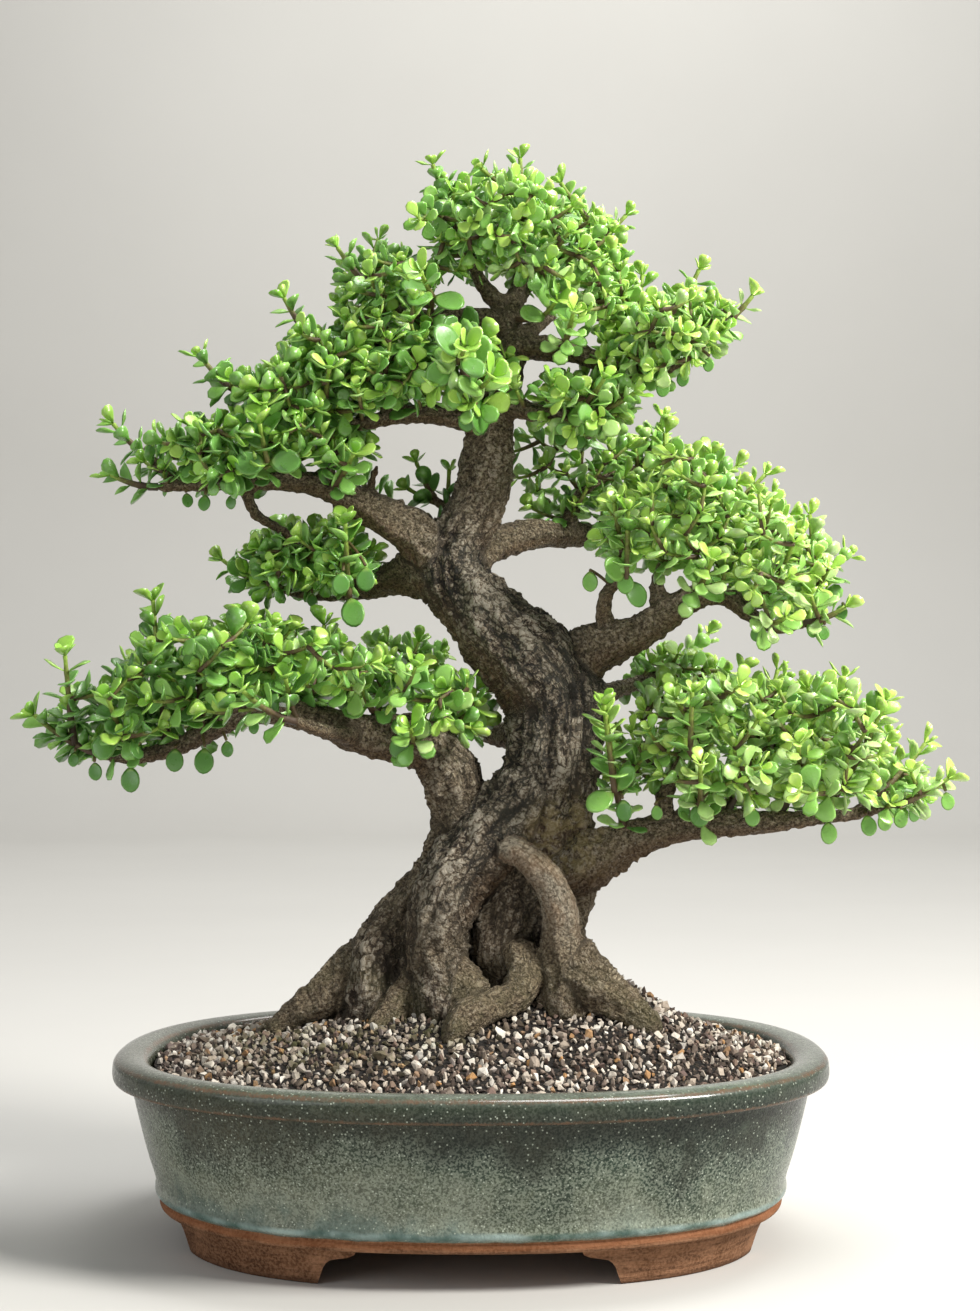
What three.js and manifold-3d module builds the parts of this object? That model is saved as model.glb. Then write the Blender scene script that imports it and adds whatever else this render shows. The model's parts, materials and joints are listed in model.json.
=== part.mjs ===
// A dwarf jade bonsai in an oval glazed pot, in millimetres, +Z up, standing on its four feet at z = 0.
// The pot, the grit, the woody trunk with its roots and limbs, and every leafy spray are separate pieces.
import * as THREE from "three";
import { mergeVertices } from "three/addons/utils/BufferGeometryUtils.js";
import Module from "manifold-3d";

const wasm = await Module();
wasm.setup();

// Pot
const RIM_HALF_WIDTH = 172;
const RIM_HALF_DEPTH = 142;
const RIM_HEIGHT = 90;
const RIM_BAND = 18; // how far in the rim reaches
const OVAL_POWER = 2.3; // 2 is an ellipse, more is fuller at the corners
const POT_SIDES = 28;
const FOOT_HEIGHT = 17.5;
const FLOOR_TOP = 26;
const FLOOR_INSET = 34; // from the rim's outermost edge to the edge of the floor
const DRAIN_RADIUS = 11;
const DRAIN_SIDES = 16;
const DRAIN_SPREAD = 70; // from the pot's centre to each drain hole
const FRONT_GAP = 67.5; // half the gap between two feet at the table, along the front
const SIDE_GAP = 46; // and along the sides

// Profiles of the pot as [inset from the rim's edge, height]. An inset of null is the pot's centre.
const WALL_OUTSIDE = [
  [null, FOOT_HEIGHT], [26, FOOT_HEIGHT], [22.8, 22.5], [20.4, 26], [21, 31], [16.6, 44], [12, 62],
  [8.4, 76.4], [1.6, 77.4], [0, 81], [1, 86], [3.6, 88.8], [8, RIM_HEIGHT], [13.4, 88.6], [RIM_BAND, 85],
];
const WALL_INSIDE = [[19, 82], [21.5, 60], [28, 34], [FLOOR_INSET, FLOOR_TOP]];
const FOOT_SINK = 1; // how far the feet reach into the pot
const FOOT_TOP = FOOT_HEIGHT + FOOT_SINK;
const FOOT_RING = [[29.5, FOOT_TOP], [30.2, 14], [32.4, 10], [34, 0], [47, 0], [45, FOOT_TOP]];

// The scrolled side of the gap between two feet, as [inset from the foot's toe, height]
const GAP_SCROLL = [[18.5, FOOT_HEIGHT], [17.5, 14.6], [9.5, 12.4], [4.5, 10.4], [1.6, 4.5], [0, -1]];

// Drain screens, one over each drain hole
const SCREEN_SIDE = 36;
const SCREEN_THICK = 1.6;
const SCREEN_HOLES = 2;
const SCREEN_HOLE = 11;
const SCREEN_PITCH = 15;

// Grit
const CLEARANCE = 0.35; // between neighbouring pieces
const GRIT_EDGE = 84; // height where the grit meets the pot's wall
const GRIT_RISE = 34; // from there to the middle
const GRIT_CELL = 14.6;
const GRIT_RELIEF = 1.3;
const GRIT_SHIFT = 0.3; // how far a corner wanders, of a cell
const ROOT_MOUND = { x: 62, y: 5, height: 20, wide: 28, deep: 30 };

// Wood
const RUN_SIDES = [[18, 10], [11, 6], [7, 5], [0, 4]]; // [radius a run must pass, its sides]
const STOUT = 9; // radius from which a run is fluted
const FLUTES = 3;
const FLUTE_DEPTH = 0.07;
const FLUTE_TWIST = 0.5; // radians a step
const THIN_STEPS = 0.8; // steps from one point of a thin run to the next
const END_CAP = 0.3; // how far the end of a run stands out, of its radius

// Sight line of the front view from which the wood and the shoots were set out
const VIEW_DISTANCE = 1040;
const EYE = { x: 9.1, z: 256 };

// Shoots and leaves
const PAIR_GAP = 19; // along a shoot, from one pair of leaves to the next
const FORK = 0.38; // along the leading shoot, where the second one leaves it
const LEAF_LENGTH = 13.2;
const LEAF_WIDTH = 0.82; // of its length
const LEAF_THICK = 2.1;
// The rim of a leaf as [of its length, of its width, of its cup]
const LEAF_RIM = [[0.55, -0.5, 0.2], [0.96, -0.26, 1], [0.96, 0.26, 1], [0.55, 0.5, 0.2]];
const LEAF_BELLY = 0.56; // where it is thickest, of its length
const LEAF_CUP = 0.07; // how far its tip curls up, of its length
const FIRST_PAIR = 0.26; // along its shoot
const YOUNG_LEAF = 0.62; // length of the leaves at a tip, of a grown leaf's
const SHOOT_BASE_RADIUS = 2.4;
const SHOOT_TIP_RADIUS = 1.5;
const SHOOT_SIDES = 4;
const NECK = 0.8; // half the height of a leaf's neck, along its shoot
const SHOOT_DROOP = 0.14; // how far a shoot bows below its chord, of its length
const LEAF_LIFT = { first: 28, last: 44, tip: 50, spread: 22 }; // degrees towards the tip
const LEAF_TURN = 34; // degrees round the shoot, from one end of the draw to the other
const LEAF_SPREAD = 0.24; // of its length, from one end of the draw to the other
const LAST_LEAF = 0.84; // length of the leaves under a tip, of a grown leaf's
// What a crowded leaf tries in turn, as [turn, lift, size]
const NUDGES = [[0, 0, 1], [22, 8, 1], [-22, 8, 1], [0, -18, 1], [0, 12, 0.8], [28, 0, 0.7], [-28, 0, 0.7]];
const CONTACT = 1e-6; // cubic millimetres in which two solids may meet

const COLOURS = { glaze: 0x5f7468, grit: 0x8f8272, bark: 0x6b5d50, leaf: 0x4e9a2c, screen: 0x1c1e1d };

const DEGREE = Math.PI / 180;

// A point that a front view shows at (x, z) in the trunk's plane, moved to depth y along its sight line.
function seenAt([x, y, z]) {
  const spread = 1 + y / VIEW_DISTANCE;
  return new THREE.Vector3(EYE.x + (x - EYE.x) * spread, y, EYE.z + (z - EYE.z) * spread);
}

// A repeatable draw from 0 to 1 for any set of whole numbers.
function chance(...keys) {
  const sum = keys.reduce((total, key, i) => total + (key + 1) * (12.9898 + 65.233 * i), 0);
  const wave = Math.sin(sum) * 43758.5453;
  return wave - Math.floor(wave);
}

// Solids
function solidOf(geometry) {
  const bare = geometry.clone();
  bare.deleteAttribute("normal");
  bare.deleteAttribute("uv");
  const merged = mergeVertices(bare, 1e-3);
  const vertProperties = new Float32Array(merged.attributes.position.array);
  const triVerts = new Uint32Array(merged.index.array);
  return new wasm.Manifold(new wasm.Mesh({ numProp: 3, vertProperties, triVerts }));
}

function geometryOf(solid) {
  const mesh = solid.getMesh();
  const geometry = new THREE.BufferGeometry();
  geometry.setAttribute("position", new THREE.BufferAttribute(mesh.vertProperties, mesh.numProp));
  geometry.setIndex(new THREE.BufferAttribute(mesh.triVerts, 1));
  return geometry.toNonIndexed();
}

function largestPiece(solid) {
  return solid.decompose().reduce((best, piece) => (piece.volume() > best.volume() ? piece : best));
}

const joined = (solids) => solids.reduce((sum, solid) => sum.add(solid));

// The rim's oval at an angle: the point on it and the direction that faces outwards there.
function ovalAt(angle) {
  const power = 2 / OVAL_POWER;
  const fold = (v) => Math.sign(v) * Math.abs(v) ** power;
  const [x, y] = [RIM_HALF_WIDTH * fold(Math.cos(angle)), RIM_HALF_DEPTH * fold(Math.sin(angle))];
  const point = new THREE.Vector2(x, y);
  const steep = (v, half) => (Math.sign(v) * Math.abs(v / half) ** (OVAL_POWER - 1)) / half;
  const out = new THREE.Vector2(steep(x, RIM_HALF_WIDTH), steep(y, RIM_HALF_DEPTH)).normalize();
  return { point, out };
}

// Turns a profile round the oval.
function turnedRound(profile, sides = POT_SIDES) {
  const radiusOf = (inset) => (inset === null ? 0 : RIM_HALF_WIDTH - inset);
  const spine = profile.map(([inset, z]) => new THREE.Vector2(radiusOf(inset), z));
  const lathe = new THREE.LatheGeometry(spine, sides);
  const position = lathe.attributes.position;
  for (let i = 0; i < position.count; i++) {
    const [x, z] = [position.getX(i), -position.getZ(i)];
    const radius = Math.hypot(x, z);
    const height = position.getY(i);
    const { point, out } = ovalAt(Math.atan2(z, x));
    if (radius < 1e-6) position.setXYZ(i, 0, 0, height);
    else {
      point.addScaledVector(out, radius - RIM_HALF_WIDTH);
      position.setXYZ(i, point.x, point.y, height);
    }
  }
  return solidOf(lathe);
}

// The outline of the gap between two feet, narrower at the top.
function gapOutline(half) {
  const right = GAP_SCROLL.map(([inset, z]) => new THREE.Vector2(half - inset, z));
  const left = right.map((p) => new THREE.Vector2(-p.x, p.y)).reverse();
  return new THREE.Shape([...left, ...right]);
}

function gapCutter(half, turn) {
  const length = 4 * RIM_HALF_WIDTH;
  const bar = new THREE.ExtrudeGeometry(gapOutline(half), { depth: length, bevelEnabled: false });
  bar.translate(0, 0, -length / 2).rotateX(Math.PI / 2).rotateZ(turn);
  return solidOf(bar);
}

function feet() {
  const ring = turnedRound([FOOT_RING[0], ...FOOT_RING.toReversed()]);
  return ring.subtract(gapCutter(FRONT_GAP, 0)).subtract(gapCutter(SIDE_GAP, Math.PI / 2));
}

function drainHole(x) {
  const drill = new THREE.CylinderGeometry(DRAIN_RADIUS, DRAIN_RADIUS, FLOOR_TOP * 2, DRAIN_SIDES);
  return solidOf(drill.rotateX(Math.PI / 2).translate(x, 0, FLOOR_TOP));
}

function pot() {
  const body = turnedRound([...WALL_OUTSIDE, ...WALL_INSIDE, [null, FLOOR_TOP]]);
  return body.add(feet()).subtract(drainHole(-DRAIN_SPREAD)).subtract(drainHole(DRAIN_SPREAD));
}

function drainScreen(x) {
  const slab = (side, thick) => new THREE.BoxGeometry(side, side, thick);
  const middle = FLOOR_TOP + CLEARANCE + SCREEN_THICK / 2;
  let plate = solidOf(slab(SCREEN_SIDE, SCREEN_THICK).translate(x, 0, middle));
  for (let i = 0; i < SCREEN_HOLES; i++) {
    for (let j = 0; j < SCREEN_HOLES; j++) {
      const [u, v] = [i, j].map((n) => (n - (SCREEN_HOLES - 1) / 2) * SCREEN_PITCH);
      plate = plate.subtract(solidOf(slab(SCREEN_HOLE, 2 * SCREEN_THICK).translate(x + u, v, middle)));
    }
  }
  return plate;
}

function gritHeight(x, y) {
  const reach = Math.hypot(x / (RIM_HALF_WIDTH - RIM_BAND), y / (RIM_HALF_DEPTH - RIM_BAND));
  const dx = (x - ROOT_MOUND.x) / ROOT_MOUND.wide;
  const dy = (y - ROOT_MOUND.y) / ROOT_MOUND.deep;
  const mound = ROOT_MOUND.height * Math.exp(-(dx * dx + dy * dy) / 2);
  return GRIT_EDGE + GRIT_RISE * Math.max(0, 1 - reach) + mound;
}

// The grit fills the pot and is heaped against the trunk. Its grains are facets a few times life size.
function grit(woodHole, screens) {
  const [wide, deep] = [2 * RIM_HALF_WIDTH, 2 * RIM_HALF_DEPTH];
  const [columns, rows] = [Math.round(wide / GRIT_CELL), Math.round(deep / GRIT_CELL)];
  const block = new THREE.BoxGeometry(wide, deep, 1, columns, rows, 1);
  const position = block.attributes.position;
  for (let i = 0; i < position.count; i++) {
    const [x, y] = [position.getX(i), position.getY(i)];
    const [column, row] = [Math.round(x / GRIT_CELL), Math.round(y / GRIT_CELL)];
    if (position.getZ(i) < 0) position.setZ(i, 0);
    else {
      const shift = (axis) => (chance(column, row, axis) - 0.5) * 2 * GRIT_SHIFT * GRIT_CELL;
      const edge = Math.abs(x) > wide / 2 - 1 || Math.abs(y) > deep / 2 - 1;
      const [px, py] = edge ? [x, y] : [x + shift(1), y + shift(2)];
      position.setXYZ(i, px, py, gritHeight(px, py) + (chance(column, row, 3) - 0.5) * 2 * GRIT_RELIEF);
    }
  }
  const top = RIM_HEIGHT * 2;
  const floor = FLOOR_TOP + CLEARANCE;
  const wall = WALL_INSIDE.map(([inset, z]) => [inset + CLEARANCE, Math.max(z, floor)]).reverse();
  const cavity = turnedRound([[null, floor], ...wall, [WALL_INSIDE[0][0] + CLEARANCE, top], [null, top]]);
  const rest = solidOf(block).intersect(cavity).subtract(woodHole);
  const nests = screens.map((x) => {
    const [side, height] = [SCREEN_SIDE + 2 * CLEARANCE, SCREEN_THICK + 2 * CLEARANCE];
    return solidOf(new THREE.BoxGeometry(side, side, 2 * height).translate(x, 0, floor));
  });
  return largestPiece(nests.reduce((sum, nest) => sum.subtract(nest), rest));
}

// Each run of wood is a list of [x, y, z, radius] as the front view shows it, from its root to its end.
const WOOD = {
  trunk: [
    [24, 12, 100, 28], [23.5, 11, 150, 27], [27.5, 5, 186, 22.5], [32, 2, 205, 25], [38, 0, 222, 23],
    [41, -2, 238, 22], [41, -3, 257, 22.5], [32, -3, 273, 22.8], [15.5, -2, 289, 19.5],
    [1.5, 0, 303, 17], [-7.5, 2, 316, 16], [-8, 3, 329, 15.5], [-2, 3, 343, 13.5], [5, 3, 360, 12],
    [9.5, 2, 386, 11], [15, 0, 410, 8.8], [19, 0, 430, 7], [19.5, 2, 455, 5],
  ],
  middle_leg: [
    [36, 0, 228, 18], [27, -6, 210, 18], [14, -11, 195, 16.5], [3, -15, 182, 16], [-6, -17, 170, 16],
    [-12, -19, 159, 15.5], [-16.5, -20, 147, 14], [-18.5, -21, 134, 13], [-14, -23, 120, 15],
    [-11, -25, 104, 17],
  ],
  left_leg: [
    [-2, 0, 205, 11], [-7, 0, 195, 12], [-11, 0, 186, 12.3], [-17, -1, 173, 12.3],
    [-26, -2, 160.5, 12.3], [-35, -3, 149, 13], [-42, -5, 136, 15], [-45, -8, 120, 17],
    [-46, -9, 100, 18],
  ],
  right_leg: [
    [44, 6, 190, 14], [47, 5, 173, 12], [47, 4, 158, 10], [44, 2, 145, 9.5], [46, 0, 130, 11.5],
    [52, -3, 106, 14],
  ],
  arched_root: [
    [12, -22, 184.5, 5.2], [21.5, -27, 184, 6.6], [31.6, -30.5, 176.5, 7.2], [38.8, -31, 166.5, 7.8],
    [42.4, -30, 155.8, 8.4], [43.5, -28, 145.7, 9], [45, -27, 131, 11], [47, -26, 106, 13],
  ],
  front_toe: [
    [24, -22, 136, 7.5], [27, -31, 122, 7.8], [21, -39, 112.5, 7.6], [9, -46, 107.5, 7.2],
    [-2, -52, 103, 8.2], [-9, -57, 96, 6.2], [-12, -60, 88, 4],
  ],
  inner_root: [
    [27, -6, 178, 12], [21, -8, 160, 14], [15, -10, 143, 14], [14, -6, 126, 12], [14, -2, 106, 12],
  ],
  middle_toe: [[-8, -24, 124, 9.5], [-1, -34, 113, 9], [-3, -43, 103, 6]],
  left_root: [
    [-40, -4, 140, 12], [-55, -6, 124, 12.5], [-70, -8, 113.5, 10.3], [-84, -9, 105.5, 8],
    [-98, -10, 95, 5],
  ],
  left_toe: [[-26, -17, 118, 10], [-38, -28, 104, 8], [-50, -38, 92, 4.5]],
  right_root: [[50, -2, 114, 12], [72, 1, 103, 9], [98, 7, 88, 4.6]],
  right_toe: [
    [44, -24, 140, 9], [50, -27, 127, 12.5], [61, -30, 116, 11.5], [74, -34, 108, 8.6], [90, -38, 97, 5],
  ],
  back_left_root: [[16, 18, 134, 17], [2, 48, 107, 10.5], [-6, 64, 92, 6]],
  back_right_root: [[40, 18, 134, 17], [58, 48, 105, 10.5], [67, 64, 91, 6]],
  low_left: [
    [6, -2, 182, 12], [-4, -2, 196, 12.5], [-8, -2, 209, 12.5], [-11, -3, 221, 13],
    [-18, -4, 231, 12.3], [-28, -6, 236.5, 11.2], [-42, -8, 238, 10.2], [-57, -10, 240, 9],
    [-73, -12, 246.5, 7.6], [-89, -13, 251, 6.6], [-105, -14, 252, 6.2], [-121, -15, 246, 5.5],
    [-138, -17, 237.5, 4.7], [-153, -18, 232, 4], [-168, -19, 229.5, 3.4], [-183, -20, 231.5, 2.8],
  ],
  low_left_front: [[-56, -10, 240, 5], [-68, -34, 241, 3.8], [-86, -56, 247, 2.8]],
  low_left_back: [[-70, -12, 246, 5], [-84, 16, 251, 4], [-98, 44, 260, 2.8]],
  low_right: [
    [38, 0, 180, 14], [50, -3, 177, 13.5], [60, -6, 180.5, 12], [70, -9, 186, 10.3],
    [84, -13, 191, 8.8], [98, -16, 194, 7.6], [113, -19, 196, 6.8], [128, -22, 196.5, 6.2],
    [143, -24, 197, 5.4], [158, -26, 198.5, 4.5], [172, -27, 200, 3.7], [186, -28, 201.5, 3.1],
    [200, -29, 204.5, 2.6],
  ],
  low_right_riser: [
    [97, -16, 193, 5.5], [94, -18, 205, 4.7], [98, -21, 219, 3.5], [104, -24, 231, 2.5],
  ],
  low_right_back: [[113, -19, 196, 5], [124, 10, 204, 4], [138, 40, 218, 2.8]],
  mid_right: [
    [40, 0, 270, 14], [51, -3, 277, 13], [61, -6, 282.5, 11.2], [72, -10, 286.5, 9.3],
    [84, -13, 291.5, 8.2], [96, -16, 300, 7.4], [107, -18, 307.5, 6.4], [117, -19, 310, 5.4],
    [127, -20, 308, 5], [137, -21, 299, 4.1], [150, -23, 292.5, 3.2], [163, -24, 295, 2.6],
  ],
  mid_right_fork: [
    [123, -19, 309, 4.6], [137, -14, 305, 3.7], [149, -10, 307, 3.2], [161, -7, 313, 2.6],
  ],
  mid_right_riser: [[68, -9, 287, 5.5], [65, -13, 298, 4.2], [66, -18, 309, 3.6], [76, -22, 321, 2.4]],
  mid_right_inner: [[95, -16, 301, 5], [91, -14, 311, 4], [94, -10, 324, 3.2], [104, -2, 339, 2.3]],
  mid_back: [
    [0, 6, 328, 11], [15, 17, 335.5, 8], [33, 32, 339, 6.8], [52, 47, 338.5, 5.8], [74, 61, 339, 4.4],
    [100, 70, 350, 2.9],
  ],
  mid_back_riser: [[46, 42, 339, 5], [53, 47, 358, 3.3], [67, 53, 367, 2.7], [84, 58, 372, 2.3]],
  mid_left: [
    [-12, 3, 328, 13.5], [-21, 2, 333, 12], [-32, 0, 341, 10], [-46, -3, 349, 8.7],
    [-60, -6, 356.5, 7.4], [-74, -9, 363, 6.2], [-88, -10, 364.5, 4.9], [-108, -12, 364.5, 4.1],
    [-130, -13, 363, 3.4], [-154, -15, 362, 2.5],
  ],
  mid_left_fork: [[-134, -13, 363, 3], [-147, -14, 367, 2.7], [-158, -15, 377, 2.2]],
  mid_left_hanger: [[-112, -12, 364, 3.4], [-106, -7, 349, 3], [-92, 0, 340, 2.5], [-84, 3, 331, 2.1]],
  mid_left_riser: [[-72, -8, 363, 4.5], [-68, -6, 376, 2.8], [-62, -3, 386, 2.1]],
  mid_left_low: [
    [-10, 4, 318, 13], [-28, 12, 318.5, 10.5], [-42, 19, 316.5, 7.8], [-60, 27, 311.5, 5.2],
    [-80, 33, 310, 3.9], [-101, 36, 314.5, 2.6],
  ],
  top_left_low: [
    [12, 0, 396, 8], [-3, -4, 395.5, 6], [-20, -6, 398, 5.2], [-38, -8, 396.5, 4.3],
    [-56, -10, 393, 3.5], [-76, -11, 398, 2.9], [-98, -12, 402, 2.5], [-116, -12, 409.5, 2],
  ],
  top_left_shoot: [[-33, -8, 398, 4], [-50, -11, 409, 3.4], [-66, -14, 424, 2.8], [-81, -16, 439, 2.1]],
  top_right: [
    [18, 0, 433, 7.5], [34, -5, 430.5, 6.2], [50, -9, 428.5, 4.9], [66, -13, 422.5, 3.8],
    [82, -16, 417.5, 3], [98, -17, 420.5, 2.6], [110, -19, 428.5, 2.4], [121, -20, 440, 2.1],
  ],
  top_right_fork: [[76, -15, 420, 3.2], [87, -12, 434, 2.5], [101, -10, 451, 2]],
  top_grey_left: [
    [19, 0, 440, 6.5], [2, -4, 445.5, 4.8], [-18, -7, 445.5, 3.8], [-34, -8, 447.5, 3],
    [-47, -8, 458, 2.3],
  ],
  top_inner_left: [[17, 1, 449, 5], [6, 1, 461, 3.9], [-1, -1, 477, 2.9], [-11, -5, 501, 2]],
  top_inner_right: [[19, 3, 451, 5.4], [28, 9, 464, 4.7], [44, 13, 471, 3.7], [59, 15, 483, 2.4]],
  top_middle: [[22, 4, 455, 4.4], [26, 4, 474, 3.3], [25, 2, 500, 2.1]],
  top_front: [[13, 0, 404, 6], [30, -14, 399, 4.4], [50, -26, 397, 3]],
  back_low_left: [[34, 10, 240, 10], [22, 28, 239, 6.4], [2, 54, 244, 4.6], [-26, 76, 260, 2.7]],
  back_low_right: [[46, 8, 255, 8], [58, 26, 259, 5.6], [73, 48, 263, 4.2], [90, 70, 270, 2.7]],
  back_mid: [[-4, 10, 335, 8], [-16, 32, 339, 5.6], [-36, 62, 350, 3]],
  back_top: [[9, 4, 385, 7], [4, 28, 393, 5], [-8, 56, 408, 2.9]],
  back_crown: [[18, 2, 432, 6], [30, 26, 440, 4.2], [44, 50, 450, 2.7]],
};

// A round run of wood, thicker and thinner on its way, fluted where it is stout. grow adds a skin.
function woodRun(run, grow) {
  const curve = new THREE.CatmullRomCurve3(run.map(([x, y, z]) => seenAt([x, y, z])));
  const stout = Math.max(...run.map(([, , , radius]) => radius));
  const [, sides] = RUN_SIDES.find(([radius]) => stout > radius);
  const steps = Math.max(2, Math.round((run.length - 1) * (stout > STOUT ? 1 : THIN_STEPS)));
  const { tangents, normals, binormals } = curve.computeFrenetFrames(steps, false);
  const positions = [];
  const push = (p) => positions.push(p.x, p.y, p.z);
  for (let i = 0; i <= steps; i++) {
    const along = curve.getUtoTmapping(i / steps) * (run.length - 1);
    const from = Math.min(run.length - 2, Math.floor(along));
    const radius = THREE.MathUtils.lerp(run[from][3], run[from + 1][3], along - from);
    const middle = curve.getPointAt(i / steps);
    const end = i === 0 ? -1 : i === steps ? 1 : 0;
    middle.addScaledVector(tangents[i], end * grow);
    for (let k = 0; k < sides; k++) {
      const angle = (2 * Math.PI * k) / sides;
      const flute = radius > STOUT ? FLUTE_DEPTH * Math.cos(FLUTES * angle + FLUTE_TWIST * i) : 0;
      const reach = radius * (1 + flute) + grow;
      const across = middle.clone().addScaledVector(normals[i], reach * Math.cos(angle));
      push(across.addScaledVector(binormals[i], reach * Math.sin(angle)));
    }
  }
  push(curve.getPointAt(0).addScaledVector(tangents[0], -grow - run[0][3] * END_CAP));
  push(curve.getPointAt(1).addScaledVector(tangents[steps], grow + run.at(-1)[3] * END_CAP));
  const [first, last] = [sides * (steps + 1), sides * (steps + 1) + 1];
  const index = [];
  for (let k = 0; k < sides; k++) {
    const next = (k + 1) % sides;
    index.push(first, next, k, last, steps * sides + k, steps * sides + next);
    for (let i = 0; i < steps; i++) {
      const [a, b, c, d] = [i * sides + k, i * sides + next, (i + 1) * sides + k, (i + 1) * sides + next];
      index.push(a, b, d, a, d, c);
    }
  }
  const geometry = new THREE.BufferGeometry();
  geometry.setAttribute("position", new THREE.Float32BufferAttribute(positions, 3));
  geometry.setIndex(index);
  return solidOf(geometry);
}

const allWood = (grow) => joined(Object.values(WOOD).map((run) => woodRun(run, grow)));

// Sprays: each starts on its limb and runs to one or two tips, as the front view shows them.
const SPRAYS = {
  low_left: [
    [[-182, -20, 231], [-214, -23, 250], [-199, -30, 279]], [[-164, -19, 230], [-178, -54, 258]],
    [[-148, -18, 233], [-156, -12, 306], [-170, 24, 268]], [[-132, -17, 240], [-134, -48, 290]],
    [[-104, -14, 251.5], [-112, -14, 299], [-92, -50, 280]], [[-82, -13, 249], [-72, -4, 294]],
    [[-50, -9, 239], [-40, 4, 277], [-54, -34, 264]], [[-26, -6, 236], [-30, -48, 244]],
    [[-86, -56, 247], [-112, -78, 262]], [[-98, 44, 260], [-126, 66, 284], [-86, 62, 290]],
  ],
  low_right: [
    [[200, -29, 204.5], [233, -31, 219]], [[184, -28, 201.5], [222, -12, 236]],
    [[170, -27, 200], [203, -40, 257]], [[148, -25, 197.5], [182, -2, 268], [160, -62, 236]],
    [[122, -21, 196], [150, 14, 272]], [[112, -19, 196], [112, -64, 226]],
    [[104, -24, 231], [132, -22, 272], [100, -56, 258]], [[76, -11, 188], [66, -50, 250]],
    [[138, 40, 218], [170, 62, 248], [126, 66, 256]],
  ],
  mid_right: [
    [[163, -24, 295], [183, -26, 303]], [[161, -7, 313], [184, -1, 328], [166, 16, 348]],
    [[140, -13, 305.5], [158, -48, 334]], [[104, -2, 339], [144, 4, 368], [118, -26, 378]],
    [[96, -8, 327], [95, 22, 388]], [[107, -18, 307.5], [118, -58, 326]],
    [[76, -22, 321], [70, -44, 354]], [[140, -21, 297], [154, -54, 298]],
    [[100, 70, 350], [130, 84, 372]], [[84, 58, 372], [94, 68, 396]],
  ],
  mid_left: [
    [[-154, -15, 362], [-177, -16, 368]], [[-158, -15, 377], [-176, -17, 393]],
    [[-126, -13, 363], [-138, -34, 392]], [[-100, -11, 364.5], [-118, 22, 396], [-102, -44, 402]],
    [[-62, -3, 386], [-52, 6, 404]], [[-70, -8, 361], [-58, -44, 378]],
    [[-36, 62, 350], [-62, 82, 374]],
  ],
  mid_left_low: [
    [[-101, 36, 314.5], [-122, 40, 326], [-92, 60, 342]], [[-56, 25, 313], [-62, -14, 342]],
  ],
  crown: [
    [[-81, -16, 439], [-92, -18, 455]], [[-116, -12, 409.5], [-133, -12, 426]],
    [[-74, -11, 397.5], [-70, -46, 420]], [[-47, -8, 458], [-66, -10, 480], [-46, 14, 484]],
    [[-8, -6, 445.5], [-6, -52, 430]], [[-9, -4, 497], [-19, -6, 521], [-26, -36, 494]],
    [[25, 2, 500], [24, 1, 524], [5, -14, 519]], [[59, 15, 483], [76, 18, 496], [44, 10, 512]],
    [[121, -20, 440], [138, -23, 456]], [[101, -10, 451], [112, -10, 469]],
    [[78, -15, 418.5], [84, 20, 466], [104, -46, 438]], [[44, -8, 429.5], [50, -50, 448]],
    [[50, -26, 397], [80, -40, 408]], [[-8, 56, 408], [-34, 74, 432]],
    [[44, 50, 450], [68, 70, 468], [28, 62, 486]], [[-26, 76, 260], [-46, 94, 284]],
    [[90, 70, 270], [116, 88, 290]],
  ],
};

// A shoot: a bowed line with a frame of three directions at any place along it.
function shoot(base, tip) {
  const droop = new THREE.Vector3(0, 0, -SHOOT_DROOP * base.distanceTo(tip));
  const bend = base.clone().add(tip).multiplyScalar(0.5).add(droop);
  const curve = new THREE.QuadraticBezierCurve3(base, bend, tip);
  curve.length = curve.getLength();
  return curve;
}

function frameOn(curve, t) {
  const along = curve.getTangent(t).normalize();
  const up = Math.abs(along.z) > 0.96 ? new THREE.Vector3(0, 1, 0) : new THREE.Vector3(0, 0, 1);
  const side = along.clone().cross(up).normalize();
  return { point: curve.getPoint(t), along, side, over: side.clone().cross(along) };
}

// Pairs of leaves along a shoot, each a quarter turn from the last, smaller and steeper at the tip.
function leavesOn(curve, key, branch) {
  const pairs = Math.max(1, Math.round(curve.length / PAIR_GAP - 0.5));
  const leaves = [];
  for (let j = 0; j <= pairs; j++) {
    const t = FIRST_PAIR + ((1 - FIRST_PAIR) * j) / pairs - NECK / curve.length;
    const [atTip, share] = [j === pairs, j / pairs];
    const grown = atTip ? YOUNG_LEAF : THREE.MathUtils.lerp(1, LAST_LEAF, share);
    const lift = atTip ? LEAF_LIFT.tip : THREE.MathUtils.lerp(LEAF_LIFT.first, LEAF_LIFT.last, share);
    for (const half of [0, 2]) {
      const draw = (k) => chance(key, branch, j, half, k) - 0.5;
      const face = (j + half) % SHOOT_SIDES;
      const length = LEAF_LENGTH * grown * (1 + LEAF_SPREAD * draw(3));
      leaves.push({ t, face, turn: LEAF_TURN * draw(2), rise: lift + LEAF_LIFT.spread * draw(1), length });
    }
  }
  return leaves;
}

// A shoot is square in section. Each leaf grows out of one of its four faces, joined to it all round.
function shootRadius(t) {
  return THREE.MathUtils.lerp(SHOOT_BASE_RADIUS, SHOOT_TIP_RADIUS, t);
}

function shootRing(curve, t) {
  const { point, side, over } = frameOn(curve, t);
  return [-1, 1, 3, 5].map((corner) => {
    const angle = (corner * Math.PI) / SHOOT_SIDES;
    const out = side.clone().multiplyScalar(Math.cos(angle)).addScaledVector(over, Math.sin(angle));
    return out.multiplyScalar(shootRadius(t)).add(point);
  });
}

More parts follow.
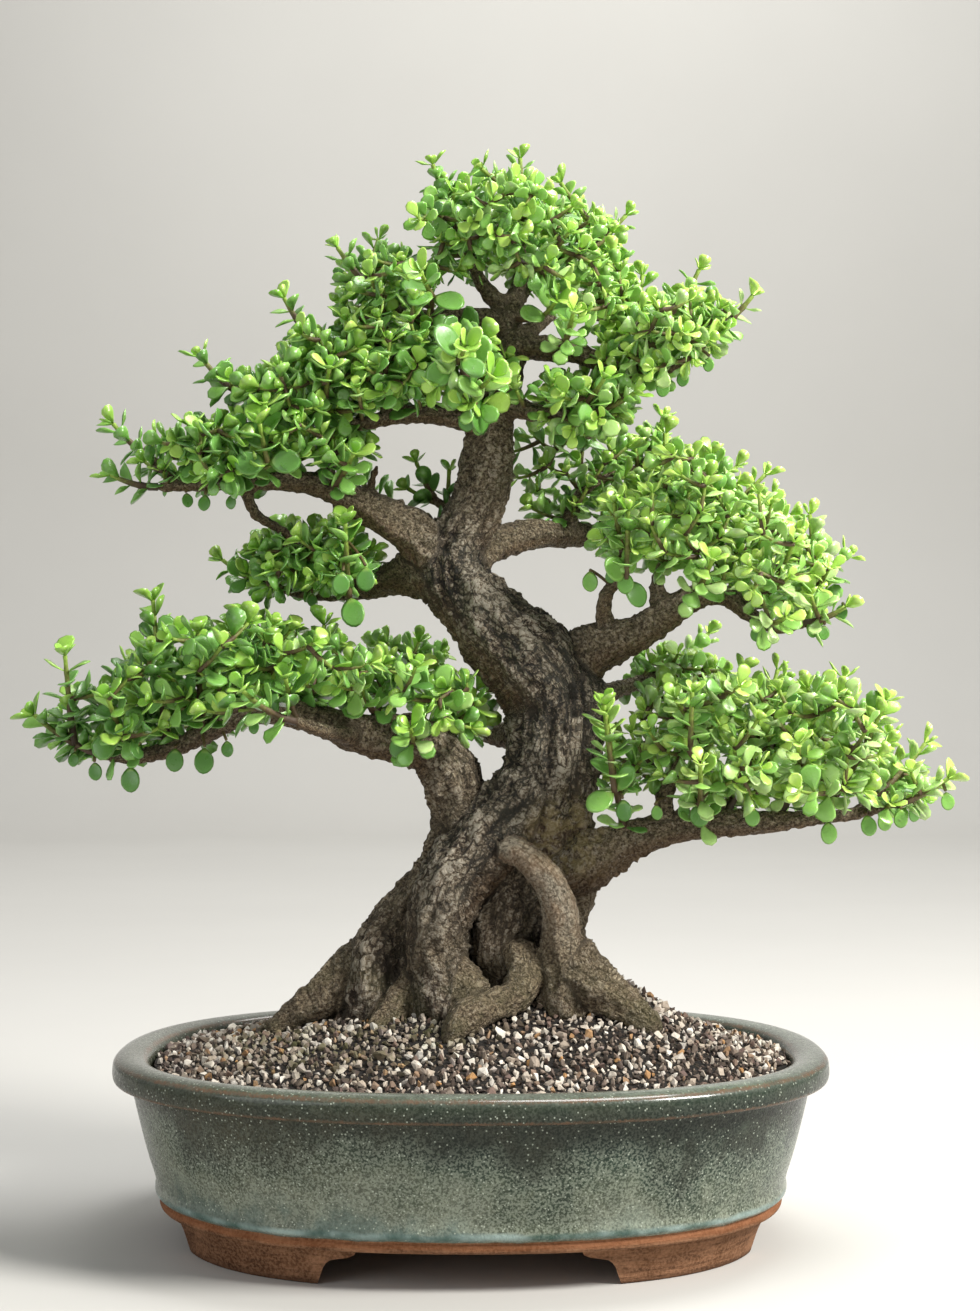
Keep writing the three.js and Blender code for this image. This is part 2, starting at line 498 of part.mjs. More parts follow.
// A leaf's own frame: root at the origin, tip along +X, upper face towards +Z.
function leafPlace(curve, { t, face, turn, rise }) {
  const { point, along, side, over } = frameOn(curve, t);
  const [spin, lift] = [(face * Math.PI) / 2 + turn * DEGREE, rise * DEGREE];
  const out = side.clone().multiplyScalar(Math.cos(spin)).addScaledVector(over, Math.sin(spin));
  const axis = out.clone().multiplyScalar(Math.cos(lift)).addScaledVector(along, Math.sin(lift));
  const upper = along.clone().multiplyScalar(Math.cos(lift)).addScaledVector(out, -Math.sin(lift));
  const root = point.clone().addScaledVector(out, shootRadius(t) * Math.SQRT1_2);
  return new THREE.Matrix4().makeBasis(axis, upper.clone().cross(axis), upper).setPosition(root);
}

// The points of a plump blade, widest past its middle: its rim from right to left, then its two bellies.
function leafPoints(length, place, swell = 0) {
  const width = LEAF_WIDTH * length + 2 * swell;
  const rim = LEAF_RIM.map(([u, v, rise]) => [u * (length + swell), v * width, rise * LEAF_CUP * length]);
  const belly = LEAF_THICK / 2 + swell;
  const points = [...rim, [LEAF_BELLY * length, 0, belly], [LEAF_BELLY * length, 0, -belly]];
  return points.map((p) => new THREE.Vector3(...p).applyMatrix4(place));
}

// The room that a leaf needs, with a clearance all round.
function leafRoom(length, place) {
  const points = [new THREE.Vector3().applyMatrix4(place), ...leafPoints(length, place, CLEARANCE)];
  const edges = LEAF_RIM.length + 1;
  const index = [];
  for (let k = 0; k < edges; k++) index.push(k, (k + 1) % edges, edges, (k + 1) % edges, k, edges + 1);
  return solidOf(new THREE.BufferGeometry().setFromPoints(points).setIndex(index));
}

function shootSolid(curve, leaves) {
  const bands = [...new Set(leaves.map((leaf) => leaf.t))];
  const half = NECK / curve.length;
  const points = [0, ...bands.flatMap((t) => [t - half, t + half]), 1].flatMap((t) => shootRing(curve, t));
  const rings = points.length / SHOOT_SIDES;
  const index = [0, 1, 2, 0, 2, 3];
  for (let i = 0; i < rings - 1; i++) {
    for (let face = 0; face < SHOOT_SIDES; face++) {
      const next = (face + 1) % SHOOT_SIDES;
      const [a, b] = [i * SHOOT_SIDES + face, i * SHOOT_SIDES + next];
      const [c, d] = [a + SHOOT_SIDES, b + SHOOT_SIDES];
      const leaf = i % 2 && leaves.find((other) => other.t === bands[(i - 1) / 2] && other.face === face);
      if (!leaf) {
        index.push(a, d, b, a, c, d);
        continue;
      }
      const first = points.push(...leafPoints(leaf.length, leaf.place)) - LEAF_RIM.length - 2;
      const last = first + LEAF_RIM.length - 1;
      const [top, under] = [last + 1, last + 2];
      index.push(a, c, last, d, b, first);
      index.push(c, d, top, d, first, top, last, c, top);
      index.push(b, a, under, a, last, under, first, b, under);
      for (let k = first; k < last; k++) index.push(k, k + 1, top, k + 1, k, under);
    }
  }
  const end = (rings - 1) * SHOOT_SIDES;
  index.push(end, end + 2, end + 1, end, end + 3, end + 2);
  return solidOf(new THREE.BufferGeometry().setFromPoints(points).setIndex(index));
}

// Each spray is planned first: its leading shoot, the one that may fork from it, and their leaves.
function planSpray([base, tip, forkTip], key) {
  const lead = shoot(seenAt(base), seenAt(tip));
  const curves = forkTip ? [lead, shoot(lead.getPoint(FORK), seenAt(forkTip))] : [lead];
  const wanted = curves.map((curve, branch) => leavesOn(curve, key, branch));
  return { key, curves, wanted, bare: joined(curves.map((curve, i) => shootSolid(curve, []))) };
}

function touches(a, b) {
  const [p, q] = [a.boundingBox(), b.boundingBox()];
  const apart = [0, 1, 2].some((i) => p.min[i] > q.max[i] || q.min[i] > p.max[i]);
  return !apart && a.intersect(b).volume() > CONTACT;
}

// A leaf that would cross another piece is turned, lifted or kept smaller, or left out.
function settle(leaf, curve, fixed) {
  for (const [turn, lift, size] of NUDGES) {
    const tried = { ...leaf, turn: leaf.turn + turn, rise: leaf.rise + lift, length: leaf.length * size };
    tried.place = leafPlace(curve, tried);
    const room = leafRoom(tried.length, tried.place);
    if (!fixed.some((solid) => touches(room, solid))) return { ...tried, room };
  }
  return null;
}

function growSprays(woodSkin) {
  const sprays = Object.values(SPRAYS).flat().map((spray, key) => planSpray(spray, key));
  for (const spray of sprays) spray.bare = largestPiece(spray.bare.subtract(woodSkin));
  const rooms = [];
  for (const spray of sprays) {
    const fixed = [woodSkin, ...sprays.filter((other) => other !== spray).map((other) => other.bare)];
    spray.kept = spray.wanted.map((leaves, branch) => leaves.flatMap((leaf) => {
      const sameBand = (room) => room.spray === spray && room.branch === branch && room.t === leaf.t;
      const others = rooms.filter((room) => !sameBand(room));
      const settled = settle(leaf, spray.curves[branch], [...fixed, ...others.map((room) => room.solid)]);
      if (settled) rooms.push({ spray, branch, t: leaf.t, solid: settled.room });
      return settled ? [settled] : [];
    }));
    const shoots = spray.curves.map((curve, branch) => shootSolid(curve, spray.kept[branch]));
    spray.solid = largestPiece(joined(shoots).subtract(woodSkin));
  }
  return sprays;
}

function piece(name, solid, material) {
  const mesh = new THREE.Mesh(geometryOf(solid), material);
  mesh.name = name;
  return mesh;
}

const matt = (color, roughness) => new THREE.MeshStandardMaterial({ color, roughness, metalness: 0 });
const bonsai = new THREE.Group();
bonsai.name = "dwarf_jade_bonsai";

const woodSkin = allWood(CLEARANCE);
const wood = largestPiece(allWood(0));
bonsai.add(piece("pot", pot(), matt(COLOURS.glaze, 0.3)));
bonsai.add(piece("grit", grit(woodSkin, [-DRAIN_SPREAD, DRAIN_SPREAD]), matt(COLOURS.grit, 0.95)));
bonsai.add(piece("drain_screen_left", drainScreen(-DRAIN_SPREAD), matt(COLOURS.screen, 0.6)));
bonsai.add(piece("drain_screen_right", drainScreen(DRAIN_SPREAD), matt(COLOURS.screen, 0.6)));
bonsai.add(piece("trunk", wood, matt(COLOURS.bark, 0.9)));

const leafGreen = matt(COLOURS.leaf, 0.4);
for (const spray of growSprays(woodSkin)) {
  bonsai.add(piece("spray_" + String(spray.key + 1).padStart(2, "0"), spray.solid, leafGreen));
}

// The frame's origin is under the middle of the whole plant, on the table.
const reach = new THREE.Box3().setFromObject(bonsai);
const middle = reach.getCenter(new THREE.Vector3());
bonsai.position.set(-middle.x, -middle.y, -reach.min.z);

export default bonsai;
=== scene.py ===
import json
import math
import random

import bmesh
import bpy
import numpy as np
from mathutils import Matrix, Vector, noise

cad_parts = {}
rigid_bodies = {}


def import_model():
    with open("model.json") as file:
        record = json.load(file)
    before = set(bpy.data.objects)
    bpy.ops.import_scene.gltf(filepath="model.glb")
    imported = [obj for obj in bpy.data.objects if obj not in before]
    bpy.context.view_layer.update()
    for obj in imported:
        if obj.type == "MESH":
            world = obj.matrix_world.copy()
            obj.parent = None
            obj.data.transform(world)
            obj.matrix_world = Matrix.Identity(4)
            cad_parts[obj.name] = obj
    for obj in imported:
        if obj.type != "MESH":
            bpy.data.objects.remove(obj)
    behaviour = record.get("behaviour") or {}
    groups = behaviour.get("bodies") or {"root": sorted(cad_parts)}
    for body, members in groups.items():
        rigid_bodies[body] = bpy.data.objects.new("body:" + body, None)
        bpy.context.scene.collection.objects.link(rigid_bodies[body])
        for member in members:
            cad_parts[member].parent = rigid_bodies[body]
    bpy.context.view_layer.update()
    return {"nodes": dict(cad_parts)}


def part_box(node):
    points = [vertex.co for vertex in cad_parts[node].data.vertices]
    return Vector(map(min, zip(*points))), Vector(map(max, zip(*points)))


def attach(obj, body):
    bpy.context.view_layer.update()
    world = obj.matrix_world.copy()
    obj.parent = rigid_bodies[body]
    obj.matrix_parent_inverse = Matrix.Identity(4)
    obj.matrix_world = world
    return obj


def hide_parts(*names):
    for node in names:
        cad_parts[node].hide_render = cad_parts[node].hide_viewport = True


# A dwarf jade bonsai in an oval glazed pot. Lengths are in millimetres until they are scaled by MM.
MM = 0.001

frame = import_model()

low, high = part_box("pot")
POT = Vector(((low[0] + high[0]) / 2, (low[1] + high[1]) / 2, low[2]))

# Sight line of the front view, the same as the part's
VIEW_DISTANCE = 1040
EYE_X, EYE_Z = 9.1, 256
LENS = 58.3
LOOK_UP = 1.28  # degrees

# Pot, as in the part
RIM_HALF_WIDTH, RIM_HALF_DEPTH, RIM_HEIGHT = 172, 142, 90
OVAL_POWER = 2.3
FOOT_HEIGHT, FLOOR_TOP, FLOOR_INSET = 17.5, 26, 34
DRAIN_RADIUS, DRAIN_SPREAD = 11, 70
DRILL_HEIGHTS = (8, 24, 40)  # from under the floor to above it
FRONT_GAP, SIDE_GAP = 67.5, 46
POT_SIDES = 144
SHARP_EDGE = 38  # degrees
GLAZE_EDGE = 23.2  # height where the glaze stops and bare clay shows

# Shoots and leaves
FORK = 0.38  # where a shoot forks, as a share of its length
SHOOT_DROOP = 0.14
SHOOT_STEP = 2.1
SHOOT_SIDES = 5
PAIR_SPACING = 5.6
KNOT_REACH = 1.1  # how far a shoot's knots reach along it
LEAF_THICK = 0.11  # of a leaf's length
LEAF_SIZE = 1.14
# Painted light: leaves are drawn lighter and yellower towards the right, the side the light comes from.
PAINTED_SUN = 0.3  # how much yellower leaves are at the sunny, right-hand side
BROAD = 4  # the finest leaf shape, for the largest leaves
FORM_SHARES = (3, 3, 2, 2)  # of the four plain leaf shapes
THIN_WOOD = 6.4  # the stoutest wood that a finer shoot may start from
NEAR_WOOD = 60  # and how near to the pad's own shoots that wood has to be
TOO_NEAR, NEAR_COST = 9, 12  # a start nearer than the first counts as further by the second
LEAD_RADII, SHOW_RADII, FINE_RADII = (2.1, 1.0), (1.7, 1.0), (1.35, 0.75)  # at a shoot's foot and tip
STALK_RADIUS, STALK_SIDES = 0.8, 6  # of a leaf that hangs

# Bark: the steps along the wood, the skin's grain, and the sizes of its relief
RUN_STEP = 2.5
SKIN_VOXEL = 1.5
STOUT_RUN = 9  # runs stouter than this have a rounder section
LUMP, RIDGE, PLATE, KNOB, SPUR, RING = 15, 7.5, 4.4, 2.3, 4.0, 5.4
RUN_SHIFT = 37  # keeps the relief of one run apart from that of the next
SLEEK_FROM, SLEEK_OVER = 135, 20  # the heights over which the arched root turns sleek

# Grit: how far upwards a face must look to hold grains, and the damp ring beside the trunk
UPWARD = 0.25
DENSEST = 400000.0  # points on a square metre, before their spacing thins them
CHIP_RADIUS = 2.1
DAMP_X, DAMP_Y, DAMP_RING, DAMP_WIDTH = -52, -20, 45, 50


def seen_at(x, y, z):
    """A point that the front view shows at (x, z), moved to depth y along its sight line, in metres."""
    spread = 1 + y / VIEW_DISTANCE
    return POT + Vector((EYE_X + (x - EYE_X) * spread, y, EYE_Z + (z - EYE_Z) * spread)) * MM


# Wood: each run is a list of (x, y, z, radius) as the front view shows it, from its root to its end.
# All but "mid_left_stub" and "mid_left_sprig" are in the part too.
WOOD = {
    "trunk": [
        (24, 12, 100, 28), (23.5, 11, 150, 27), (27.5, 5, 186, 22.5), (32, 2, 205, 25), (38, 0, 222, 23),
        (41, -2, 238, 22), (41, -3, 257, 22.5), (32, -3, 273, 22.8), (15.5, -2, 289, 19.5),
        (1.5, 0, 303, 17), (-7.5, 2, 316, 16), (-8, 3, 329, 15.5), (-2, 3, 343, 13.5), (5, 3, 360, 12),
        (9.5, 2, 386, 11), (15, 0, 410, 8.8), (19, 0, 430, 7), (19.5, 2, 455, 5),
    ],
    "middle_leg": [
        (36, 0, 228, 18), (27, -6, 210, 18), (14, -11, 195, 16.5), (3, -15, 182, 16), (-6, -17, 170, 16),
        (-12, -19, 159, 15.5), (-16.5, -20, 147, 14), (-18.5, -21, 134, 13), (-14, -23, 120, 15),
        (-11, -25, 104, 17),
    ],
    "left_leg": [
        (-2, 0, 205, 11), (-7, 0, 195, 12), (-11, 0, 186, 12.3), (-17, -1, 173, 12.3),
        (-26, -2, 160.5, 12.3), (-35, -3, 149, 13), (-42, -5, 136, 15), (-45, -8, 120, 17),
        (-46, -9, 100, 18),
    ],
    "right_leg": [
        (44, 6, 190, 14), (47, 5, 173, 12), (47, 4, 158, 10), (44, 2, 145, 9.5), (46, 0, 130, 11.5),
        (52, -3, 106, 14),
    ],
    "arched_root": [
        (12, -22, 184.5, 5.2), (21.5, -27, 184, 6.6), (31.6, -30.5, 176.5, 7.2), (38.8, -31, 166.5, 7.8),
        (42.4, -30, 155.8, 8.4), (43.5, -28, 145.7, 9), (45, -27, 131, 11), (47, -26, 106, 13),
    ],
    "front_toe": [
        (24, -22, 136, 7.5), (27, -31, 122, 7.8), (21, -39, 112.5, 7.6), (9, -46, 107.5, 7.2),
        (-2, -52, 103, 8.2), (-9, -57, 96, 6.2), (-12, -60, 88, 4),
    ],
    "inner_root": [
        (27, -6, 178, 12), (21, -8, 160, 14), (15, -10, 143, 14), (14, -6, 126, 12), (14, -2, 106, 12),
    ],
    "middle_toe": [(-8, -24, 124, 9.5), (-1, -34, 113, 9), (-3, -43, 103, 6)],
    "left_root": [
        (-40, -4, 140, 12), (-55, -6, 124, 12.5), (-70, -8, 113.5, 10.3), (-84, -9, 105.5, 8),
        (-98, -10, 95, 5),
    ],
    "left_toe": [(-26, -17, 118, 10), (-38, -28, 104, 8), (-50, -38, 92, 4.5)],
    "right_root": [(50, -2, 114, 12), (72, 1, 103, 9), (98, 7, 88, 4.6)],
    "right_toe": [
        (44, -24, 140, 9), (50, -27, 127, 12.5), (61, -30, 116, 11.5), (74, -34, 108, 8.6),
        (90, -38, 97, 5),
    ],
    "back_left_root": [(16, 18, 134, 17), (2, 48, 107, 10.5), (-6, 64, 92, 6)],
    "back_right_root": [(40, 18, 134, 17), (58, 48, 105, 10.5), (67, 64, 91, 6)],
    "low_left": [
        (6, -2, 182, 12), (-4, -2, 196, 12.5), (-8, -2, 209, 12.5), (-11, -3, 221, 13),
        (-18, -4, 231, 12.3), (-28, -6, 236.5, 11.2), (-42, -8, 238, 10.2), (-57, -10, 240, 9),
        (-73, -12, 246.5, 7.6), (-89, -13, 251, 6.6), (-105, -14, 252, 6.2), (-121, -15, 246, 5.5),
        (-138, -17, 237.5, 4.7), (-153, -18, 232, 4), (-168, -19, 229.5, 3.4), (-183, -20, 231.5, 2.8),
    ],
    "low_left_front": [(-56, -10, 240, 5), (-68, -34, 241, 3.8), (-86, -56, 247, 2.8)],
    "low_left_back": [(-70, -12, 246, 5), (-84, 16, 251, 4), (-98, 44, 260, 2.8)],
    "low_right": [
        (38, 0, 180, 14), (50, -3, 177, 13.5), (60, -6, 180.5, 12), (70, -9, 186, 10.3),
        (84, -13, 191, 8.8), (98, -16, 194, 7.6), (113, -19, 196, 6.8), (128, -22, 196.5, 6.2),
        (143, -24, 197, 5.4), (158, -26, 198.5, 4.5), (172, -27, 200, 3.7), (186, -28, 201.5, 3.1),
        (200, -29, 204.5, 2.6),
    ],
    "low_right_riser": [
        (97, -16, 193, 5.5), (94, -18, 205, 4.7), (98, -21, 219, 3.5), (104, -24, 231, 2.5),
    ],
    "low_right_back": [(113, -19, 196, 5), (124, 10, 204, 4), (138, 40, 218, 2.8)],
    "mid_right": [
        (40, 0, 270, 14), (51, -3, 277, 13), (61, -6, 282.5, 11.2), (72, -10, 286.5, 9.3),
        (84, -13, 291.5, 8.2), (96, -16, 300, 7.4), (107, -18, 307.5, 6.4), (117, -19, 310, 5.4),
        (127, -20, 308, 5), (137, -21, 299, 4.1), (150, -23, 292.5, 3.2), (163, -24, 295, 2.6),
    ],
    "mid_right_fork": [
        (123, -19, 309, 4.6), (137, -14, 305, 3.7), (149, -10, 307, 3.2), (161, -7, 313, 2.6),
    ],
    "mid_right_riser": [(68, -9, 287, 5.5), (65, -13, 298, 4.2), (66, -18, 309, 3.6), (76, -22, 321, 2.4)],
    "mid_right_inner": [(95, -16, 301, 5), (91, -14, 311, 4), (94, -10, 324, 3.2), (104, -2, 339, 2.3)],
    "mid_back": [
        (0, 6, 328, 11), (15, 17, 335.5, 8), (33, 32, 339, 6.8), (52, 47, 338.5, 5.8), (74, 61, 339, 4.4),
        (100, 70, 350, 2.9),
    ],
    "mid_back_riser": [(46, 42, 339, 5), (53, 47, 358, 3.3), (67, 53, 367, 2.7), (84, 58, 372, 2.3)],
    "mid_left": [
        (-12, 3, 328, 13.5), (-21, 2, 333, 12), (-32, 0, 341, 10), (-46, -3, 349, 8.7),
        (-60, -6, 356.5, 7.4), (-74, -9, 363, 6.2), (-88, -10, 364.5, 4.9), (-108, -12, 364.5, 4.1),
        (-130, -13, 363, 3.4), (-154, -15, 362, 2.5),
    ],
    "mid_left_fork": [(-134, -13, 363, 3), (-147, -14, 367, 2.7), (-158, -15, 377, 2.2)],
    "mid_left_hanger": [(-112, -12, 364, 3.4), (-106, -7, 349, 3), (-92, 0, 340, 2.5), (-84, 3, 331, 2.1)],
    "mid_left_riser": [(-72, -8, 363, 4.5), (-68, -6, 376, 2.8), (-62, -3, 386, 2.1)],
    "mid_left_stub": [(-49, -4, 352, 4), (-49, -5, 364, 2.4), (-46, -6, 373, 1.8)],
    "mid_left_sprig": [(-4, 10, 345, 4), (-14, 16, 352, 2.8), (-21, 19, 360, 2)],
    "mid_left_low": [
        (-10, 4, 318, 13), (-28, 12, 318.5, 10.5), (-42, 19, 316.5, 7.8), (-60, 27, 311.5, 5.2),
        (-80, 33, 310, 3.9), (-101, 36, 314.5, 2.6),
    ],
    "top_left_low": [
        (12, 0, 396, 8), (-3, -4, 395.5, 6), (-20, -6, 398, 5.2), (-38, -8, 396.5, 4.3),
        (-56, -10, 393, 3.5), (-76, -11, 398, 2.9), (-98, -12, 402, 2.5), (-116, -12, 409.5, 2),
    ],
    "top_left_shoot": [(-33, -8, 398, 4), (-50, -11, 409, 3.4), (-66, -14, 424, 2.8), (-81, -16, 439, 2.1)],
    "top_right": [
        (18, 0, 433, 7.5), (34, -5, 430.5, 6.2), (50, -9, 428.5, 4.9), (66, -13, 422.5, 3.8),
        (82, -16, 417.5, 3), (98, -17, 420.5, 2.6), (110, -19, 428.5, 2.4), (121, -20, 440, 2.1),
    ],
    "top_right_fork": [(76, -15, 420, 3.2), (87, -12, 434, 2.5), (101, -10, 451, 2)],
    "top_grey_left": [
        (19, 0, 440, 6.5), (2, -4, 445.5, 4.8), (-18, -7, 445.5, 3.8), (-34, -8, 447.5, 3),
        (-47, -8, 458, 2.3),
    ],
    "top_inner_left": [(17, 1, 449, 5), (6, 1, 461, 3.9), (-1, -1, 477, 2.9), (-11, -5, 501, 2)],
    "top_inner_right": [(19, 3, 451, 5.4), (28, 9, 464, 4.7), (44, 13, 471, 3.7), (59, 15, 483, 2.4)],
    "top_middle": [(22, 4, 455, 4.4), (26, 4, 474, 3.3), (25, 2, 500, 2.1)],
    "top_front": [(13, 0, 404, 6), (30, -14, 399, 4.4), (50, -26, 397, 3)],
    "back_low_left": [(34, 10, 240, 10), (22, 28, 239, 6.4), (2, 54, 244, 4.6), (-26, 76, 260, 2.7)],
    "back_low_right": [(46, 8, 255, 8), (58, 26, 259, 5.6), (73, 48, 263, 4.2), (90, 70, 270, 2.7)],
    "back_mid": [(-4, 10, 335, 8), (-16, 32, 339, 5.6), (-36, 62, 350, 3)],
    "back_top": [(9, 4, 385, 7), (4, 28, 393, 5), (-8, 56, 408, 2.9)],
    "back_crown": [(18, 2, 432, 6), (30, 26, 440, 4.2), (44, 50, 450, 2.7)],
}

# Pads of foliage. "leads" are the part's sprays by number: where each starts, its tip, and its fork's tip.
# "outline" bounds the finer shoots between them as the front view shows it, "depth" is the middle and half
# of its depth, "shoots" their number, and "leaf" the length of a grown leaf.
PADS = {
    "low_left": {
        "leads": {
            1: [(-182, -20, 231), (-214, -23, 250), (-199, -30, 279)],
            2: [(-164, -19, 230), (-178, -54, 258)],
            3: [(-148, -18, 233), (-156, -12, 306), (-170, 24, 268)],
            4: [(-132, -17, 240), (-134, -48, 290)],
            5: [(-104, -14, 251.5), (-112, -14, 299), (-92, -50, 280)],
            6: [(-82, -13, 249), (-72, -4, 294)],
            7: [(-50, -9, 239), (-40, 4, 277), (-54, -34, 264)],
            8: [(-26, -6, 236), (-30, -48, 244)],
            9: [(-86, -56, 247), (-112, -78, 262)],
            10: [(-98, 44, 260), (-126, 66, 284), (-86, 62, 290)],
        },
        "outline": [
            (-202, 237), (-207, 246), (-192, 260), (-180, 262), (-165, 279), (-150, 290), (-133, 291),
            (-111, 297), (-84, 291), (-64, 284), (-52, 276), (-35, 275), (-11, 273), (3, 262), (8, 248),
            (0, 242), (-15, 249), (-35, 259), (-60, 260), (-84, 264), (-99, 257), (-116, 251),
            (-131, 243), (-148, 236), (-167, 234), (-187, 232),
        ],
        "depth": (-4, 62), "shoots": 156, "leaf": 11.4,
    },
    "low_right": {
        "leads": {
            11: [(200, -29, 204.5), (233, -31, 219)],
            12: [(184, -28, 201.5), (222, -12, 236)],
            13: [(170, -27, 200), (203, -40, 257)],
            14: [(148, -25, 197.5), (182, -2, 268), (160, -62, 236)],
            15: [(122, -21, 196), (150, 14, 272)],
            16: [(112, -19, 196), (112, -64, 226)],
            17: [(104, -24, 231), (132, -22, 272), (100, -56, 258)],
            18: [(76, -11, 188), (66, -50, 250)],
            19: [(138, 40, 218), (170, 62, 248), (126, 66, 256)],
        },
        "outline": [
            (70, 214), (68, 238), (80, 255), (92, 266), (112, 260), (134, 266), (156, 268), (178, 263),
            (196, 252), (208, 237), (222, 221), (226, 211), (209, 206), (184, 210), (160, 212),
            (132, 207), (107, 212), (88, 216), (76, 215),
        ],
        "depth": (-8, 58), "shoots": 156, "leaf": 10.4,
    },
    "mid_right": {
        "leads": {
            20: [(163, -24, 295), (183, -26, 303)],
            21: [(161, -7, 313), (184, -1, 328), (166, 16, 348)],
            22: [(140, -13, 305.5), (158, -48, 334)],
            23: [(104, -2, 339), (144, 4, 368), (118, -26, 378)],
            24: [(96, -8, 327), (95, 22, 388)],
            25: [(107, -18, 307.5), (118, -58, 326)],
            26: [(76, -22, 321), (70, -44, 354)],
            27: [(140, -21, 297), (154, -54, 298)],
        },
        "outline": [
            (62, 334), (66, 351), (84, 362), (93, 378), (111, 378), (130, 366), (152, 353), (166, 338),
            (176, 324), (174, 307), (166, 300), (150, 306), (134, 311), (122, 323), (107, 328), (92, 323),
            (83, 330), (68, 328),
        ],
        "depth": (-6, 54), "shoots": 141, "leaf": 10.2,
    },
    "mid_back": {
        "leads": {
            28: [(100, 70, 350), (130, 84, 372)],
            29: [(84, 58, 372), (94, 68, 396)],
        },
        "outline": [
            (20, 390), (42, 396), (64, 392), (90, 388), (120, 372), (128, 362), (100, 352), (78, 350),
            (58, 347), (38, 346), (24, 352), (18, 370),
        ],
        "depth": (54, 24), "shoots": 50, "leaf": 9.8,
    },
    "mid_left": {
        "leads": {
            30: [(-154, -15, 362), (-177, -16, 368)],
            31: [(-158, -15, 377), (-176, -17, 393)],
            32: [(-126, -13, 363), (-138, -34, 392)],
            33: [(-100, -11, 364.5), (-118, 22, 396), (-102, -44, 402)],
            34: [(-62, -3, 386), (-52, 6, 404)],
            35: [(-70, -8, 361), (-58, -44, 378)],
            36: [(-36, 62, 350), (-62, 82, 374)],
        },
        "outline": [
            (-160, 372), (-163, 382), (-154, 386), (-138, 390), (-109, 395), (-89, 399), (-69, 390),
            (-50, 382), (-56, 375), (-74, 377), (-94, 373), (-113, 369), (-133, 366), (-154, 368),
        ],
        "depth": (-8, 40), "shoots": 81, "leaf": 10.6,
    },
    "mid_left_low": {
        "leads": {
            37: [(-101, 36, 314.5), (-122, 40, 326), (-92, 60, 342)],
            38: [(-56, 25, 313), (-62, -14, 342)],
        },
        "outline": [
            (-110, 314), (-111, 325), (-101, 336), (-84, 341), (-64, 341), (-50, 331), (-48, 321),
            (-60, 315), (-84, 315), (-102, 312),
        ],
        "depth": (18, 34), "shoots": 60, "leaf": 11,
    },
    "top_left": {
        "leads": {
            39: [(-81, -16, 439), (-92, -18, 455)],
            40: [(-116, -12, 409.5), (-133, -12, 426)],
            41: [(-74, -11, 397.5), (-70, -46, 420)],
        },
        "outline": [
            (-124, 415), (-101, 413), (-84, 438), (-64, 431), (-45, 430), (-27, 414), (-17, 405),
            (-35, 406), (-50, 401), (-64, 397), (-84, 399), (-104, 406),
        ],
        "depth": (-6, 40), "shoots": 86, "leaf": 10.4,
    },
    "crown_left": {
        "leads": {
            42: [(-47, -8, 458), (-66, -10, 480), (-46, 14, 484)],
            52: [(-8, 56, 408), (-34, 74, 432)],
        },
        "outline": [
            (-67, 438), (-60, 464), (-60, 472), (-36, 478), (-22, 467), (-18, 439), (-22, 418),
            (-35, 409), (-57, 421),
        ],
        "depth": (2, 50), "shoots": 73, "leaf": 9.8,
    },
    "crown_top": {
        "leads": {
            44: [(-9, -4, 497), (-19, -6, 521), (-26, -36, 494)],
            45: [(25, 2, 500), (24, 1, 524), (5, -14, 519)],
            46: [(59, 15, 483), (76, 18, 496), (44, 10, 512)],
            53: [(44, 50, 450), (68, 70, 468), (28, 62, 486)],
        },
        "outline": [
            (-20, 468), (-17, 496), (-15, 510), (4, 512), (24, 515), (42, 505), (61, 496), (72, 484),
            (77, 466), (80, 444), (63, 441), (45, 456), (26, 467), (4, 469),
        ],
        "depth": (6, 50), "shoots": 162, "leaf": 9.4,
    },
    "crown_front": {
        "leads": {43: [(-8, -6, 445.5), (-6, -52, 430)]},
        "outline": [
            (-19, 431), (12, 434), (24, 419), (24, 408), (9, 399), (-5, 401), (-27, 407), (-29, 419),
        ],
        "depth": (-24, 22), "shoots": 17, "leaf": 12.4,
    },
    "crown_right": {
        "leads": {
            47: [(121, -20, 440), (138, -23, 456)],
            48: [(101, -10, 451), (112, -10, 469)],
            49: [(78, -15, 418.5), (84, 20, 466), (104, -46, 438)],
            50: [(44, -8, 429.5), (50, -50, 448)],
        },
        "outline": [
            (65, 434), (87, 452), (106, 458), (128, 449), (125, 437), (111, 426), (93, 417), (76, 414),
            (65, 420),
        ],
        "depth": (-8, 38), "shoots": 76, "leaf": 9.6,
    },
    "crown_low": {
        "leads": {51: [(50, -26, 397), (80, -40, 408)]},
        "outline": [(32, 407), (43, 415), (62, 415), (79, 408), (71, 397), (53, 389), (36, 392)],
        "depth": (-14, 30), "shoots": 34, "leaf": 10,
    },
    "back_left": {
        "leads": {54: [(-26, 76, 260), (-46, 94, 284)]},
        "outline": [(-49, 285), (-25, 287), (-8, 276), (-13, 263), (-40, 263)],
        "depth": (72, 20), "shoots": 16, "leaf": 10,
    },
    "back_right": {
        "leads": {55: [(90, 70, 270), (116, 88, 290)]},
        "outline": [(80, 280), (112, 280), (130, 270), (130, 260), (102, 258), (83, 262)],
        "depth": (72, 20), "shoots": 19, "leaf": 10,
    },
}

